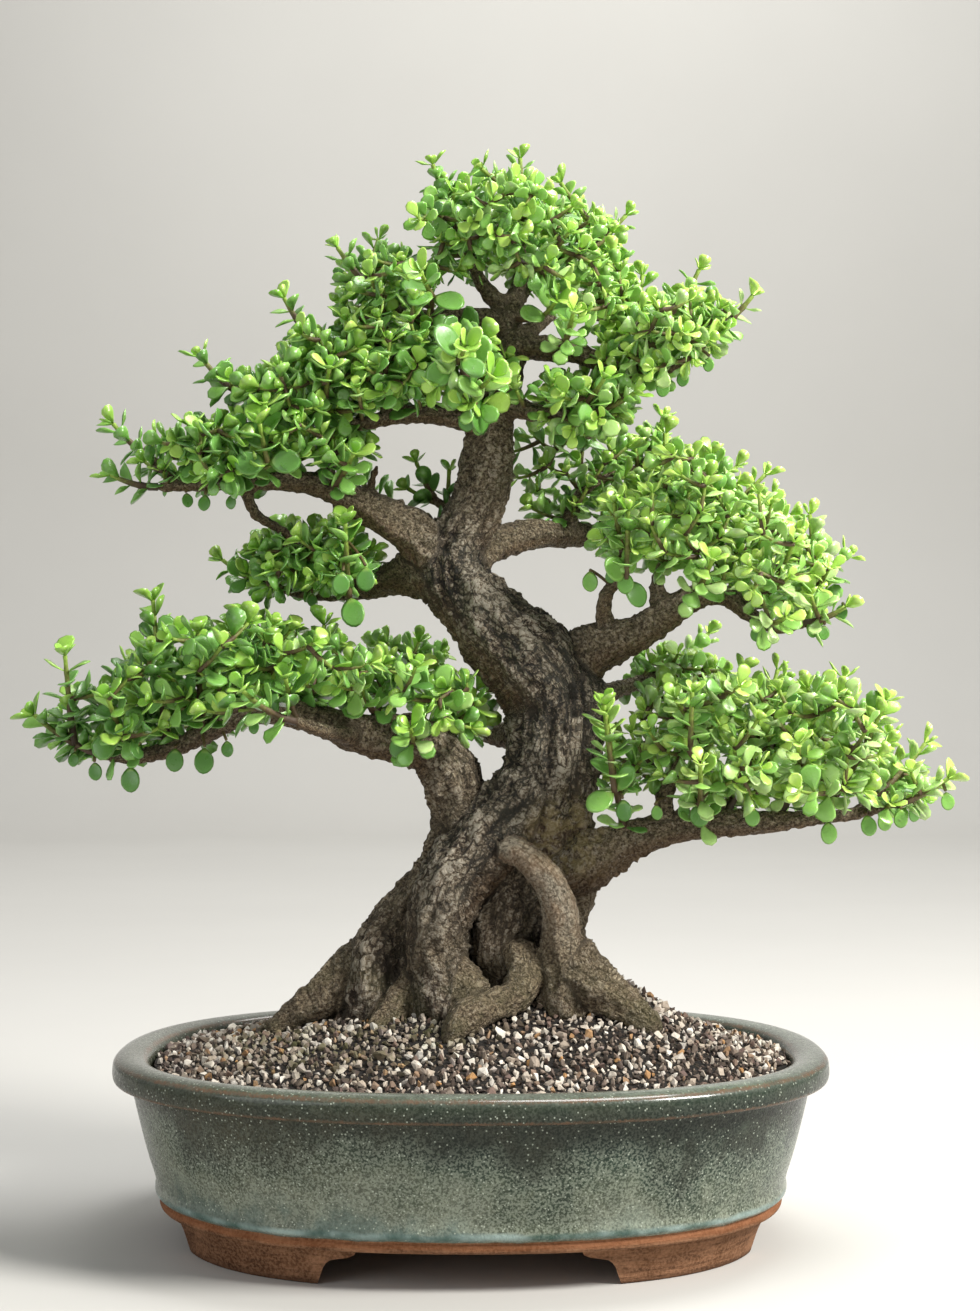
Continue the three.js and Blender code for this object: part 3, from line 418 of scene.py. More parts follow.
# Shoots that stand out, each with its root, its tip, the length of its leaves and their number of pairs.
SHOW_SHOOTS = {
    "low_left": [[(-88, -50, 254), (-91, -58, 268), 12, 2]],
    "low_right": [
        [(70, -44, 213), (65, -52, 255), 13, 5],
        [(107, -56, 232), (108, -62, 261), 10, 4],
    ],
    "mid_right": [[(76, -40, 316), (77, -48, 350), 12, 4]],
    "mid_left": [
        [(-100, -40, 374), (-104, -50, 393), 14, 3],
        [(-20, 18, 359), (-27, 22, 374), 11, 2],
        [(-15, 17, 353), (-31, 20, 361), 11, 2],
        [(-12, 16, 351), (-11, 22, 370), 10, 2],
    ],
    "mid_left_low": [[(-60, -8, 308), (-62, -22, 344), 14, 4]],
    "crown_left": [[(-19, -26, 456), (-25, -50, 468), 13, 3]],
    "crown_front": [
        [(-7, -40, 423), (-3, -66, 431), 16, 2],
        [(0, -38, 408), (10, -62, 416), 16, 2],
    ],
    "crown_top": [[(36, -20, 447), (42, -34, 454), 13, 2]],
    "crown_low": [[(57, -34, 404), (65, -46, 415), 12, 2]],
}

# Single leaves that hang below a pad, face to the front, each as the place of its middle and its length.
HANGING = {
    "low_left": [
        (-194, -22, 228, 9), (-184.5, -26, 222, 11), (-167, -30, 218, 15.5), (-145, -30, 227.5, 14),
        (-130.5, -30, 227, 15.5), (-120, -24, 233, 10), (-33.5, -26, 234, 16.5), (-106, -24, 244, 9),
    ],
    "low_right": [
        (112.5, -38, 201, 15.5), (136.5, -34, 200, 12), (174.5, -32, 192, 13.5), (193, -34, 195.5, 12.5),
        (201.5, -30, 197.5, 11), (210, -34, 199, 11), (217, -28, 201.5, 10), (232, -31, 207.5, 11),
        (90, -36, 202, 9), (104, -34, 203, 10), (74, -44, 203, 13),
    ],
    "mid_right": [
        (140, -26, 289.5, 9.5), (58, -26, 315, 12.5), (76, -40, 314, 13), (166, -25, 291.5, 10),
        (173, -24, 290, 9), (182, -24, 300, 10), (69, -36, 318, 9),
    ],
    "mid_left": [(-140, -16, 355, 9), (-130.5, -18, 353.5, 10), (-118, -18, 354, 9)],
    "mid_left_low": [(-52, -20, 316, 15), (-63, -22, 314, 14), (-78, 8, 306, 8)],
    "crown_right": [(95, -24, 410, 11), (104.5, -20, 415, 10), (117, -20, 422, 9)],
    "crown_front": [(-3, -34, 394, 13), (4, -30, 391, 10)],
    "crown_low": [(43, -20, 386, 11), (54, -24, 384, 9)],
}


# Meshes
class Shell:
    """Points and faces of one mesh in the making, with values kept at its points."""

    def __init__(self, *names):
        self.points, self.faces = [], []
        self.values = {name: [] for name in names}

    def point(self, place, **values):
        self.points.append(place)
        for name, kept in self.values.items():
            kept.append(values[name])
        return len(self.points) - 1

    def tube(self, path, sides, values_at=lambda share: {}):
        """A round closed tube along a path of (place, radius)."""
        turns = [2 * math.pi * k / sides for k in range(sides)]
        rings = []
        for i, (place, radius, _, across, over) in enumerate(carried_frames(path)):
            values = values_at(i / (len(path) - 1))
            outs = [across * math.cos(a) + over * math.sin(a) for a in turns]
            rings.append([self.point(place + out * radius, **values) for out in outs])
        for ring, after in zip(rings, rings[1:]):
            for k in range(sides):
                n = (k + 1) % sides
                self.faces.append((ring[k], ring[n], after[n], after[k]))
        for ring, (place, radius), way, share in (
            (rings[0][::-1], path[0], path[0][0] - path[1][0], 0),
            (rings[-1], path[-1], path[-1][0] - path[-2][0], 1),
        ):
            end = self.point(place + way.normalized() * radius * 0.5, **values_at(share))
            self.faces.extend((ring[k], ring[(k + 1) % sides], end) for k in range(sides))

    def mesh(self, name):
        mesh = bpy.data.meshes.new(name)
        mesh.from_pydata(self.points, [], self.faces)
        for value, kept in self.values.items():
            keep_values(mesh, value, kept)
        return mesh


def keep_values(mesh, name, kept):
    """Keeps one number or one vector for each point of a mesh, for its material or its nodes to read."""
    kept = np.asarray(kept, dtype=np.float32)
    vector = kept.ndim == 2
    layer = mesh.attributes.new(name, "FLOAT_VECTOR" if vector else "FLOAT", "POINT")
    layer.data.foreach_set("vector" if vector else "value", kept.ravel())


def carried_frames(path):
    """For each (place, radius) of a path: both, its direction, and two across it that don't twist."""
    frames = []
    across = None
    for i, (place, radius) in enumerate(path):
        way = (path[min(i + 1, len(path) - 1)][0] - path[max(i - 1, 0)][0]).normalized()
        if across is None:
            across = way.orthogonal().normalized()
        across = (across - way * across.dot(way)).normalized()
        frames.append((place, radius, way, across, way.cross(across)))
    return frames


def smooth_run(run, step):
    """A run of wood as a smooth path of (place, radius), a step apart."""
    places = [seen_at(x, y, z) for x, y, z, _ in run]
    radii = [radius * MM for _, _, _, radius in run]
    first = places[0] * 2 - places[1]
    last = places[-1] * 2 - places[-2]
    path = []
    for i in range(len(places) - 1):
        a, b = (places[i - 1] if i else first), places[i]
        c, d = places[i + 1], (places[i + 2] if i + 2 < len(places) else last)
        ab, bc, cd = (math.sqrt((q - p).length) for p, q in ((a, b), (b, c), (c, d)))
        leave = ((b - a) / ab - (c - a) / (ab + bc) + (c - b) / bc) * bc
        reach = ((c - b) / bc - (d - b) / (bc + cd) + (d - c) / cd) * bc
        count = max(2, round((c - b).length / step))
        for k in range(count):
            t = k / count
            place = (
                b * (2 * t**3 - 3 * t**2 + 1) + leave * (t**3 - 2 * t**2 + t)
                + c * (3 * t**2 - 2 * t**3) + reach * (t**3 - t**2)
            )
            path.append((place, radii[i] + (radii[i + 1] - radii[i]) * t))
    path.append((places[-1], radii[-1]))
    return path


def new_object(name, mesh, *materials):
    made = bpy.data.objects.new(name, mesh)
    bpy.context.scene.collection.objects.link(made)
    for material in materials:
        mesh.materials.append(material)
    return made


def settled(obj):
    """Turns what an object's modifiers make into its mesh."""
    seen = obj.evaluated_get(bpy.context.evaluated_depsgraph_get())
    mesh = bpy.data.meshes.new_from_object(seen)
    mesh.name = obj.name
    obj.modifiers.clear()
    before = obj.data
    obj.data = mesh
    bpy.data.meshes.remove(before)


def smooth(obj, angle=None):
    obj.data.polygons.foreach_set("use_smooth", [True] * len(obj.data.polygons))
    if angle:
        obj.data.set_sharp_from_angle(angle=math.radians(angle))
    return obj


def place_array(mesh):
    places = np.empty(len(mesh.vertices) * 3, dtype=np.float32)
    mesh.vertices.foreach_get("co", places)
    return places.reshape(-1, 3)


# Node trees
class Wiring:
    """Places nodes in a tree, each with its settings and with what goes into its sockets."""

    def __init__(self, tree):
        self.tree = tree

    def node(self, kind, sockets=None, **settings):
        made = self.tree.nodes.new(kind)
        for name, value in settings.items():
            setattr(made, name, value)
        for key, value in (sockets or {}).items():
            if isinstance(value, bpy.types.NodeSocket):
                self.tree.links.new(value, made.inputs[key])
            else:
                made.inputs[key].default_value = value
        return made

    def math(self, operation, *values):
        return self.node("ShaderNodeMath", dict(enumerate(values)), operation=operation).outputs[0]

    def times(self, first, second):
        return self.math("MULTIPLY", first, second)

    def times_plus(self, first, second, third):
        """The first value times the second, plus the third."""
        return self.math("MULTIPLY_ADD", first, second, third)

    def apart(self, value, middle):
        """How far a value lies from a middle one, on either side."""
        return self.math("ABSOLUTE", self.math("SUBTRACT", value, middle))

    def parts(self, vector):
        """The three parts of a vector."""
        return self.node("ShaderNodeSeparateXYZ", {0: vector}).outputs

    def mix(self, share, first, second):
        """The first colour where share is 0 and the second where it is 1."""
        return self.node("ShaderNodeMix", {0: share, 6: first, 7: second}, data_type="RGBA").outputs[2]

    def ramp(self, value, *stops):
        made = self.node("ShaderNodeValToRGB", {0: value})
        elements = made.color_ramp.elements
        while len(elements) < len(stops):
            elements.new(0.5)
        for element, (position, colour) in zip(elements, stops):
            element.position = position
            element.color = colour
        return made.outputs[0]

    def fade(self, value, start, end, low=0.0, high=1.0):
        """Eases from low to high as a value goes from start to end, and is held outside them."""
        sockets = {0: value, 1: start, 2: end, 3: low, 4: high}
        return self.node("ShaderNodeMapRange", sockets, interpolation_type="SMOOTHSTEP").outputs[0]

    def group(self, tree, **sockets):
        made = self.node(self.tree.bl_idname.replace("Tree", "Group"), node_tree=tree)
        for name, value in sockets.items():
            key = name.replace("_", " ")
            if isinstance(value, bpy.types.NodeSocket):
                self.tree.links.new(value, made.inputs[key])
            else:
                made.inputs[key].default_value = value
        return made.outputs[0]

    def kept(self, name, form="Fac"):
        """A value kept at the mesh's points, as a number or, in the form Vector, as a vector."""
        return self.node("ShaderNodeAttribute", attribute_name=name).outputs[form]

    def noise(self, place, size, detail, roughness=0.5, distortion=0.0, form="Fac"):
        """A cloudy pattern of a size in millimetres, as a number or, in the form Color, as three."""
        sockets = {
            "Vector": place, "Scale": self.per_metre(size), "Detail": detail, "Roughness": roughness,
            "Distortion": distortion,
        }
        return self.node("ShaderNodeTexNoise", sockets).outputs[form]

    def cells(self, place, size, **settings):
        """How far a place is from the middle of its cell, or as the settings say. Sizes in millimetres."""
        sockets = {"Vector": place, "Scale": self.per_metre(size)}
        return self.node("ShaderNodeTexVoronoi", sockets, **settings).outputs["Distance"]

    def per_metre(self, size):
        """How many lengths of a size in millimetres go into a metre."""
        if isinstance(size, bpy.types.NodeSocket):
            return self.math("DIVIDE", 1 / MM, size)
        return 1 / (size * MM)

    def stretched(self, place, *scale):
        """A place scaled in each direction, so that a pattern on it is drawn out."""
        return self.node("ShaderNodeMapping", {"Vector": place, "Scale": scale}).outputs[0]

    def mottle(self, place, size, contrast):
        return self.group(MOTTLE, Place=place, Size=size, Contrast=contrast)

    def speckle(self, place, size, share):
        return self.group(SPECKLE, Place=place, Size=size, Share=share)

    def roughcast(self, place, coarse, fine):
        return self.group(ROUGHCAST, Place=place, Coarse=coarse, Fine=fine)


def new_group(name, kind, sockets, result):
    """An empty node group with named inputs, each a (type, default), and one output."""
    tree = bpy.data.node_groups.new(name, kind)
    for label, (socket, default) in sockets.items():
        made = tree.interface.new_socket(label, in_out="INPUT", socket_type=socket)
        if default is not None:
            made.default_value = default
    tree.interface.new_socket(result[0], in_out="OUTPUT", socket_type=result[1])
    wiring = Wiring(tree)
    given = wiring.node("NodeGroupInput").outputs
    handed = wiring.node("NodeGroupOutput").inputs
    return tree, wiring, given, handed


def shader_group(name, result, **amounts):
    """A group for materials that reads a place and named amounts, and puts out one number."""
    sockets = {label: ("NodeSocketFloat", amount) for label, amount in amounts.items()}
    sockets = {"Place": ("NodeSocketVector", None), **sockets}
    return new_group(name, "ShaderNodeTree", sockets, (result, "NodeSocketFloat"))


def mottle_group():
    """Soft patches of a size in millimetres, as a mask."""
    tree, w, given, handed = shader_group("mottle", "Mask", Size=10.0, Contrast=0.16)
    cloud = w.noise(given["Place"], given["Size"], 4.0, 0.6)
    start = w.math("SUBTRACT", 0.5, given["Contrast"])
    end = w.math("ADD", 0.5, given["Contrast"])
    tree.links.new(w.fade(cloud, start, end), handed[0])
    return tree


def speckle_group():
    """Separate specks, Size apart and covering a share of the surface, as a mask."""
    tree, w, given, handed = shader_group("speckle", "Mask", Size=2.0, Share=0.25)
    cells = w.cells(given["Place"], given["Size"])
    edge = w.times(given["Share"], 0.6)
    tree.links.new(w.fade(cells, given["Share"], edge), handed[0])
    return tree


def roughcast_group():
    """Fine relief from a coarse and a fine grain, in millimetres, as a height."""
    tree, w, given, handed = shader_group("roughcast", "Height", Coarse=3.0, Fine=0.7)
    coarse = w.noise(given["Place"], given["Coarse"], 3.0)
    fine = w.noise(given["Place"], given["Fine"], 2.0)
    tree.links.new(w.times_plus(fine, 0.4, coarse), handed[0])
    return tree


MOTTLE, SPECKLE, ROUGHCAST = mottle_group(), speckle_group(), roughcast_group()


def tint(red, green, blue):
    """A colour given as a screen shows it, 0 to 255, as the light it stands for."""
    shares = (red / 255, green / 255, blue / 255)
    return tuple(((v + 0.055) / 1.055) ** 2.4 if v > 0.04 else v / 12.92 for v in shares) + (1.0,)


def new_material(name, **settings):
    """A material with its wiring, its shader and the object's own coordinates."""
    material = bpy.data.materials.new(name)
    material.use_nodes = True
    wiring = Wiring(material.node_tree)
    shader = material.node_tree.nodes["Principled BSDF"]
    for key, value in settings.items():
        shader.inputs[key.replace("_", " ")].default_value = value
    place = wiring.node("ShaderNodeTexCoord").outputs["Object"]
    return material, wiring, shader, place


def finish(wiring, shader, colour, roughness=None, height=None, depth=0.3):
    """Joins a colour, a roughness and a relief, whose depth is in millimetres, to a material's shader."""
    wiring.tree.links.new(colour, shader.inputs["Base Color"])
    if roughness is not None:
        wiring.tree.links.new(roughness, shader.inputs["Roughness"])
    if height is not None:
        bump = wiring.node("ShaderNodeBump", {"Height": height, "Distance": depth * MM, "Strength": 1.0})
        wiring.tree.links.new(bump.outputs[0], shader.inputs["Normal"])


# The patch of crusty bark beside the lowest limb on the right
LICHEN_MIDDLE = seen_at(47, -22, 190)
LICHEN_REACH, LICHEN_CORE = 28 * MM, 10 * MM


def bark_material():
    """Grey-brown bark, pebbly and with dark crevices, warmer low down, with painted shade in its hollows and
    painted warm light on the undersides of its limbs, and sleek on the arched root.
    """
    material, w, shader, place = new_material("jade_bark", Roughness=0.85)
    relief = w.kept("relief")
    stout = w.kept("stout")
    under = w.kept("under")
    sleek = w.kept("sleek")
    flow = w.kept("flow", "Vector")
    long_flow = w.stretched(flow, 1.0, 1.0, 0.6)
    plates = w.noise(long_flow, 4.6, 5.0, 0.66, 0.4)
    stir = w.noise(flow, 3.4, 2.0, form="Color")
    stirring = (2.6 * MM, 2.6 * MM, 2.6 * MM)
    sockets = {0: stir, 1: stirring, 2: long_flow}
    stirred = w.node("ShaderNodeVectorMath", sockets, operation="MULTIPLY_ADD").outputs[0]
    pebbles = w.cells(stirred, 2.1)
    crevice = w.cells(stirred, 4.4, feature="DISTANCE_TO_EDGE")
    plate_top = w.fade(crevice, 0.0, 0.13)
    crumbs = w.noise(flow, 1.35, 4.0, 0.72)
    # Painted shade and light: the relief makes the bark darker in its hollows and lighter on its raised
    # parts.
    level = w.times_plus(w.fade(plates, 0.3, 0.7), 0.16, w.times(relief, 0.6))
    grain = w.noise(w.stretched(flow, 1.0, 1.0, 0.16), 4.2, 3.0)
    crack = w.fade(w.apart(grain, 0.5), 0.035, 0.0)
    level = w.times_plus(crack, -0.22, level)
    level = w.times_plus(w.math("SUBTRACT", crumbs, 0.5), 2.0, level)
    level = w.times_plus(w.math("SUBTRACT", 0.5, pebbles), 0.5, level)
    level = w.times_plus(w.math("SUBTRACT", plate_top, 0.72), 0.34, level)
    base = w.ramp(
        level,
        (0.16, tint(28, 21, 16)), (0.3, tint(68, 55, 42)), (0.44, tint(112, 97, 78)),
        (0.6, tint(156, 142, 120)), (0.78, tint(206, 195, 176)),
    )
    bumpy = w.fade(crumbs, 0.35, 0.65)
    patch = w.mottle(long_flow, 14.0, 0.16)
    hued = w.mix(w.times(patch, 0.32), base, tint(118, 116, 98))
    height = w.times(w.parts(place)[2], 1 / MM)
    earthy = w.mix(w.times(w.fade(height, 215.0, 120.0), 0.26), hued, tint(96, 72, 48))
    limb = w.fade(stout, 16.0, 10.0)
    worn = w.mix(bumpy, tint(88, 70, 47), tint(206, 184, 146))
    tan = w.mix(w.times(limb, 0.5), earthy, worn)
    # Painted light: limbs between 140 and 170 mm high are drawn warm orange-brown on their undersides, as if
    # lit from below.
    painted_underlight = w.times(w.fade(height, 140.0, 170.0), w.fade(under, 0.0, 0.6, 0.0, 0.65))
    warm = w.mix(painted_underlight, tan, w.mix(bumpy, tint(84, 62, 40), tint(146, 114, 78)))
    damp = w.mottle(place, 20.0, 0.1)
    soaked = w.times(w.fade(height, 150.0, 108.0), damp)
    mossy = w.mix(w.times(soaked, 0.4), warm, tint(84, 88, 44))
    fleck = w.speckle(flow, 2.2, 0.24)
    flecked = w.mix(w.times(fleck, w.times_plus(patch, 0.3, 0.14)), mossy, tint(214, 204, 184))
    ends = {0: place, 1: tuple(LICHEN_MIDDLE)}
    away = w.node("ShaderNodeVectorMath", ends, operation="DISTANCE").outputs["Value"]
    crusted = w.times(w.fade(away, LICHEN_REACH, LICHEN_CORE, 0.0, 0.55), w.mottle(flow, 5.0, 0.08))
    crusty = w.mix(crusted, flecked, tint(196, 176, 122))
    rust = w.mottle(long_flow, 9.0, 0.1)
    grey_root = w.mix(bumpy, tint(96, 86, 71), tint(178, 169, 151))
    polished = w.mix(w.times(rust, 0.5), grey_root, tint(128, 92, 58))
    rooted = w.mix(w.times(sleek, 0.7), crusty, polished)
    young = w.fade(stout, 3.4, 1.6)
    colour = w.mix(w.times(young, 0.6), rooted, tint(112, 88, 54))
    grains = w.times_plus(crumbs, 2.2, w.times(pebbles, -1.2))
    bump = w.times_plus(plate_top, 0.45, w.times_plus(plates, 1.2, grains))
    calm = w.times(bump, w.times_plus(sleek, -0.6, 1.0))
    finish(w, shader, colour, w.fade(crumbs, 0.3, 0.7, 0.9, 0.56), calm, 2.6)
    return material


def twig_material():
    material, w, shader, place = new_material("green_twig", Roughness=0.6)
    age = w.kept("age")
    grain = w.mottle(place, 1.6, 0.2)
    spread = w.times_plus(grain, 0.22, w.math("SUBTRACT", age, 0.11))
    colour = w.ramp(
        spread,
        (0.05, tint(138, 168, 62)), (0.3, tint(112, 116, 54)), (0.55, tint(88, 68, 44)),
        (0.9, tint(72, 56, 42)),
    )
    finish(w, shader, colour, None, w.roughcast(place, 1.2, 0.4), 0.25)
    return material


def leaf_material():
    material, w, shader, place = new_material(
        "jade_leaf", Roughness=0.36, Subsurface_Weight=0.2, Subsurface_Radius=(0.6, 1.0, 0.25),
        Subsurface_Scale=0.0012, Coat_Weight=0.3, Coat_Roughness=0.22,
    )
    age = w.kept("age")
    tone = w.kept("tone")
    blade = w.kept("blade", "Vector")
    along, across, upper = w.parts(blade)
    grown = w.ramp(
        tone,
        (0.0, tint(88, 138, 60)), (0.35, tint(126, 180, 84)), (0.7, tint(162, 210, 106)),
        (1.0, tint(204, 233, 154)),
    )
    young = w.ramp(tone, (0.0, tint(138, 194, 66)), (1.0, tint(204, 234, 116)))
    body = w.mix(w.fade(age, 0.32, 0.0), grown, young)
    # Painted shade: each leaf's underside is drawn a darker green.
    shaded_under = w.mix(w.times(w.fade(upper, 0.5, 0.2), 0.4), body, tint(84, 122, 58))
    rim = w.fade(w.math("ABSOLUTE", across), 0.86, 1.0)
    edged = w.mix(w.times(rim, 0.4), shaded_under, tint(186, 218, 140))
    foot = w.mix(w.times(w.fade(along, 0.14, 0.0), 0.5), edged, tint(160, 186, 96))
    cloud = w.mottle(place, 5.0, 0.22)
    colour = w.mix(w.times(cloud, 0.2), foot, tint(80, 128, 54))
    relief = w.roughcast(place, 1.8, 0.5)
    finish(w, shader, colour, w.fade(cloud, 0.0, 1.0, 0.26, 0.38), relief, 0.1)
    return material


def grain_material():
    material, w, shader, place = new_material("grit_grains", Roughness=0.9)
    tone = w.kept("tone")
    colour = w.ramp(
        tone,
        (0.0, tint(34, 27, 26)), (0.14, tint(80, 67, 62)), (0.28, tint(134, 118, 106)),
        (0.42, tint(190, 175, 158)), (0.58, tint(228, 217, 202)), (0.74, tint(246, 240, 228)),
        (0.85, tint(112, 90, 84)), (0.93, tint(146, 122, 104)), (0.975, tint(196, 146, 88)),
        (1.0, tint(244, 240, 230)),
    )
    cloud = w.mottle(place, 2.2, 0.25)
    dusty = w.mix(w.times(cloud, 0.3), colour, tint(120, 104, 86))
    # The grains turn darker and purple-brown in patches towards the left.
    left = w.fade(w.parts(place)[0], 0.02, -0.12)
    purple = w.times(left, w.mottle(place, 9.0, 0.14))
    darker_left = w.mix(w.times(purple, 0.5), dusty, tint(74, 60, 58))
    damp = w.kept("damp")
    mossy = w.mix(w.times(damp, w.mottle(place, 7.0, 0.1)), darker_left, tint(92, 96, 46))
    finish(w, shader, mossy, w.fade(cloud, 0.0, 1.0, 0.8, 0.98), w.roughcast(place, 1.1, 0.35), 0.3)
    return material


def soil_and_gap_shade_material():
    material, w, shader, place = new_material("grit_bed", Roughness=0.95)
    cloud = w.mottle(place, 4.0, 0.2)
    speck = w.speckle(place, 2.6, 0.5)
    # The bed's near-black browns are partly the soil's own colour and partly painted shade, for the gaps
    # between the grains.
    colour = w.mix(speck, w.mix(cloud, tint(15, 12, 10), tint(30, 24, 19)), tint(58, 48, 38))
    finish(w, shader, colour, None, w.math("ADD", speck, w.roughcast(place, 2.2, 0.7)), 1.2)
    return material


def glaze_material():
    """Celadon glaze over brown clay: darkest just under the lip, as painted shade, pale on the lip's top, as
    a painted highlight, brown on edges, and it stops above the feet.
    """
    material, w, shader, place = new_material("celadon_glaze", Coat_Roughness=0.14, Specular_IOR_Level=0.1)
    parts = w.parts(place)
    height = w.times(parts[2], 1 / MM)
    drift = w.mottle(place, 40.0, 0.2)
    streak = w.mottle(w.stretched(place, 1.0, 1.0, 0.3), 7.0, 0.2)
    streaky = w.times(w.math("SUBTRACT", streak, 0.5), 4.0)
    sway = w.times_plus(w.math("SUBTRACT", drift, 0.5), 26.0, streaky)
    deeper = w.math("ADD", sway, w.fade(parts[0], -0.03, 0.07, -1.0, 9.0))
    level = w.times_plus(deeper, w.fade(height, 78.0, 66.0), height)
    # Painted light in the body's colour: its darkest stop, just under the lip, is painted shade in the lip's
    # cove, and its palest top stops are a painted highlight along the lip's top.
    body = w.ramp(
        w.fade(level, 20.0, 92.0),
        (0.0, tint(112, 130, 122)), (0.05, tint(130, 140, 126)), (0.16, tint(118, 124, 108)),
        (0.3, tint(84, 93, 77)), (0.45, tint(44, 62, 50)), (0.6, tint(20, 40, 33)), (0.86, tint(15, 23, 16)),
        (0.94, tint(22, 31, 23)), (0.975, tint(48, 58, 48)), (0.992, tint(92, 100, 90)),
        (1.0, tint(138, 145, 134)),
    )
    brown_side = w.fade(parts[0], 0.03, -0.15)
    patchy = w.mottle(place, 50.0, 0.12)
    warmth = w.times_plus(brown_side, 0.34, w.times(patchy, 0.18))
    warm = w.mix(warmth, body, tint(76, 70, 50))
    cloudy = w.mottle(place, 9.0, 0.14)
    deep = w.mix(w.times(cloudy, 0.3), warm, tint(22, 38, 32))
    pores = w.mottle(place, 1.5, 0.1)
    freckled = w.mix(w.times(pores, 0.36), deep, tint(24, 30, 22))
    crystals = w.mottle(place, 1.1, 0.07)
    belly = w.fade(w.apart(level, 46.0), 30.0, 8.0, 0.07, 0.36)
    frosted = w.mix(w.times(crystals, belly), freckled, tint(172, 180, 162))
    pale = w.speckle(place, 2.4, 0.2)
    dotted = w.mix(w.times(pale, 0.6), frosted, tint(186, 194, 178))
    lip = w.kept("edge")
    broken = w.mottle(place, 11.0, 0.18)
    thin = w.times(w.fade(w.times_plus(pores, 0.4, lip), 0.5, 1.2), w.times_plus(broken, 0.55, 0.3))
    worn = w.mix(thin, dotted, tint(104, 78, 58))
    wave = w.node("ShaderNodeTexNoise", {"Vector": place, "Scale": 42.0, "Detail": 4.0}).outputs[0]
    border = w.times_plus(w.math("SUBTRACT", wave, 0.5), 4.0, height)
    bare = w.fade(border, GLAZE_EDGE + 0.4, GLAZE_EDGE - 0.3)
    pooled = w.fade(w.apart(border, GLAZE_EDGE + 2.4), 2.6, 0.4)
    pool_patch = w.mottle(place, 26.0, 0.16)
    pool = w.mix(pool_patch, tint(44, 76, 68), tint(156, 176, 172))
    rolled = w.mix(w.times(pooled, 0.75), worn, pool)
    stain = w.mottle(place, 16.0, 0.2)
    # Painted shade: the clay of the left-hand feet is drawn a darker brown than on the right.
    clay = w.mix(stain, w.mix(brown_side, tint(104, 72, 50), tint(78, 50, 32)), tint(140, 102, 76))
    rills = w.noise(w.stretched(place, 0.09, 0.09, 1.0), 2.2, 4.0, 0.6)
    lined = w.mix(w.fade(rills, 0.44, 0.62, 0.0, 0.55), clay, tint(62, 40, 27))
    sandy = w.mix(w.times(w.mottle(place, 1.4, 0.1), 0.4), lined, tint(170, 128, 98))
    scorched = w.fade(w.apart(border, GLAZE_EDGE - 2.0), 2.4, 0.6)
    edged = w.mix(w.times(scorched, 0.5), sandy, tint(138, 84, 52))
    # Painted shade: the feet darken over their lowest 4 mm, where they stand on the floor.
    grounded = w.mix(w.fade(height, 4.0, 0.0, 0.0, 0.5), edged, tint(56, 40, 32))
    colour = w.mix(bare, rolled, grounded)
    gloss = w.mix(pores, (0.24, 0.24, 0.24, 1), (0.42, 0.42, 0.42, 1))
    roughness = w.mix(bare, gloss, (0.82, 0.82, 0.82, 1))
    coat = w.times(w.math("SUBTRACT", 1.0, bare), w.fade(height, 84.0, 88.5, 0.3, 1.0))
    w.tree.links.new(coat, shader.inputs["Coat Weight"])
    orange_peel = w.roughcast(place, 4.0, 1.0)
    rough_clay = w.roughcast(place, 1.8, 0.5)
    glazed = w.times(orange_peel, w.times_plus(bare, -0.75, 0.9))
    relief = w.times_plus(w.times_plus(rills, 2.6, rough_clay), bare, glazed)
    finish(w, shader, colour, roughness, relief, 0.55)
    return material


def screen_material():
    material, w, shader, place = new_material("drain_mesh", Roughness=0.6)
    dust = w.mottle(place, 3.0, 0.2)
    colour = w.mix(w.times(dust, 0.3), tint(26, 28, 27), tint(84, 76, 64))
    finish(w, shader, colour, None, w.roughcast(place, 2.0, 0.5), 0.1)
    return material


def studio_material():
    material, w, shader, place = new_material("studio_floor", Roughness=0.85)
    cloud = w.mottle(place, 700.0, 0.4)
    finish(w, shader, w.mix(cloud, tint(200, 198, 193), tint(205, 203, 198)))
    return material


# Wood
def bark_relief(u, v, s, radius, shift):
    """How far the bark stands out at a place on a limb, all in millimetres. It flows along the limb."""
    stout = min(1.0, max(0.0, (radius - 2.5) / 11))
    flow = Vector((u, v, s * 0.42 + shift))
    lumps = noise.noise(flow / LUMP)
    ridges = 1 - 2 * abs(noise.noise(Vector((u, v, s * 0.2 + shift)) / RIDGE))
    plates = noise.noise(flow / PLATE + Vector((9, 4, 2)))
    knobs = noise.noise(Vector((u, v, s * 0.8 + shift)) / KNOB)
    spurs = max(0.0, noise.noise(Vector((u, v, s + shift)) / SPUR + Vector((3, 7, 5))) - 0.3) * 5
    rings = math.sin(2 * math.pi * s / RING + 3 * noise.noise(flow / 9))
    rise = stout * (3.4 * lumps + 2.0 * ridges + 2.6 * plates)
    rise += (0.3 + 1.2 * stout) * knobs
    rise += (0.15 + 0.75 * stout) * spurs
    return rise + (1 - stout) * (0.25 * rings + 0.4 * lumps)


def lay_runs(shell):
    """Adds each run of wood to a shell. Each sample is a carried frame, the length walked, and the run."""
    samples = []
    for number, run in enumerate(WOOD.values()):
        path = smooth_run(run, RUN_STEP * MM)
        stoutest = max(radius for _, _, _, radius in run)
        shell.tube(path, 20 if stoutest > STOUT_RUN else 12)
        walked = 0.0
        for i, (place, radius, way, across, over) in enumerate(carried_frames(path)):
            walked += (place - path[i - 1][0]).length if i else 0.0
            samples.append((place, radius, way, across, over, walked, number))
    return samples


def join_skin(wood):
    """Joins the runs into one skin, with soft hollows where they meet."""
    remesh = wood.modifiers.new("one skin", "REMESH")
    remesh.mode = "VOXEL"
    remesh.voxel_size = SKIN_VOXEL * MM
    blend = wood.modifiers.new("soft joints", "SMOOTH")
    blend.factor = 0.5
    blend.iterations = 8
    settled(wood)


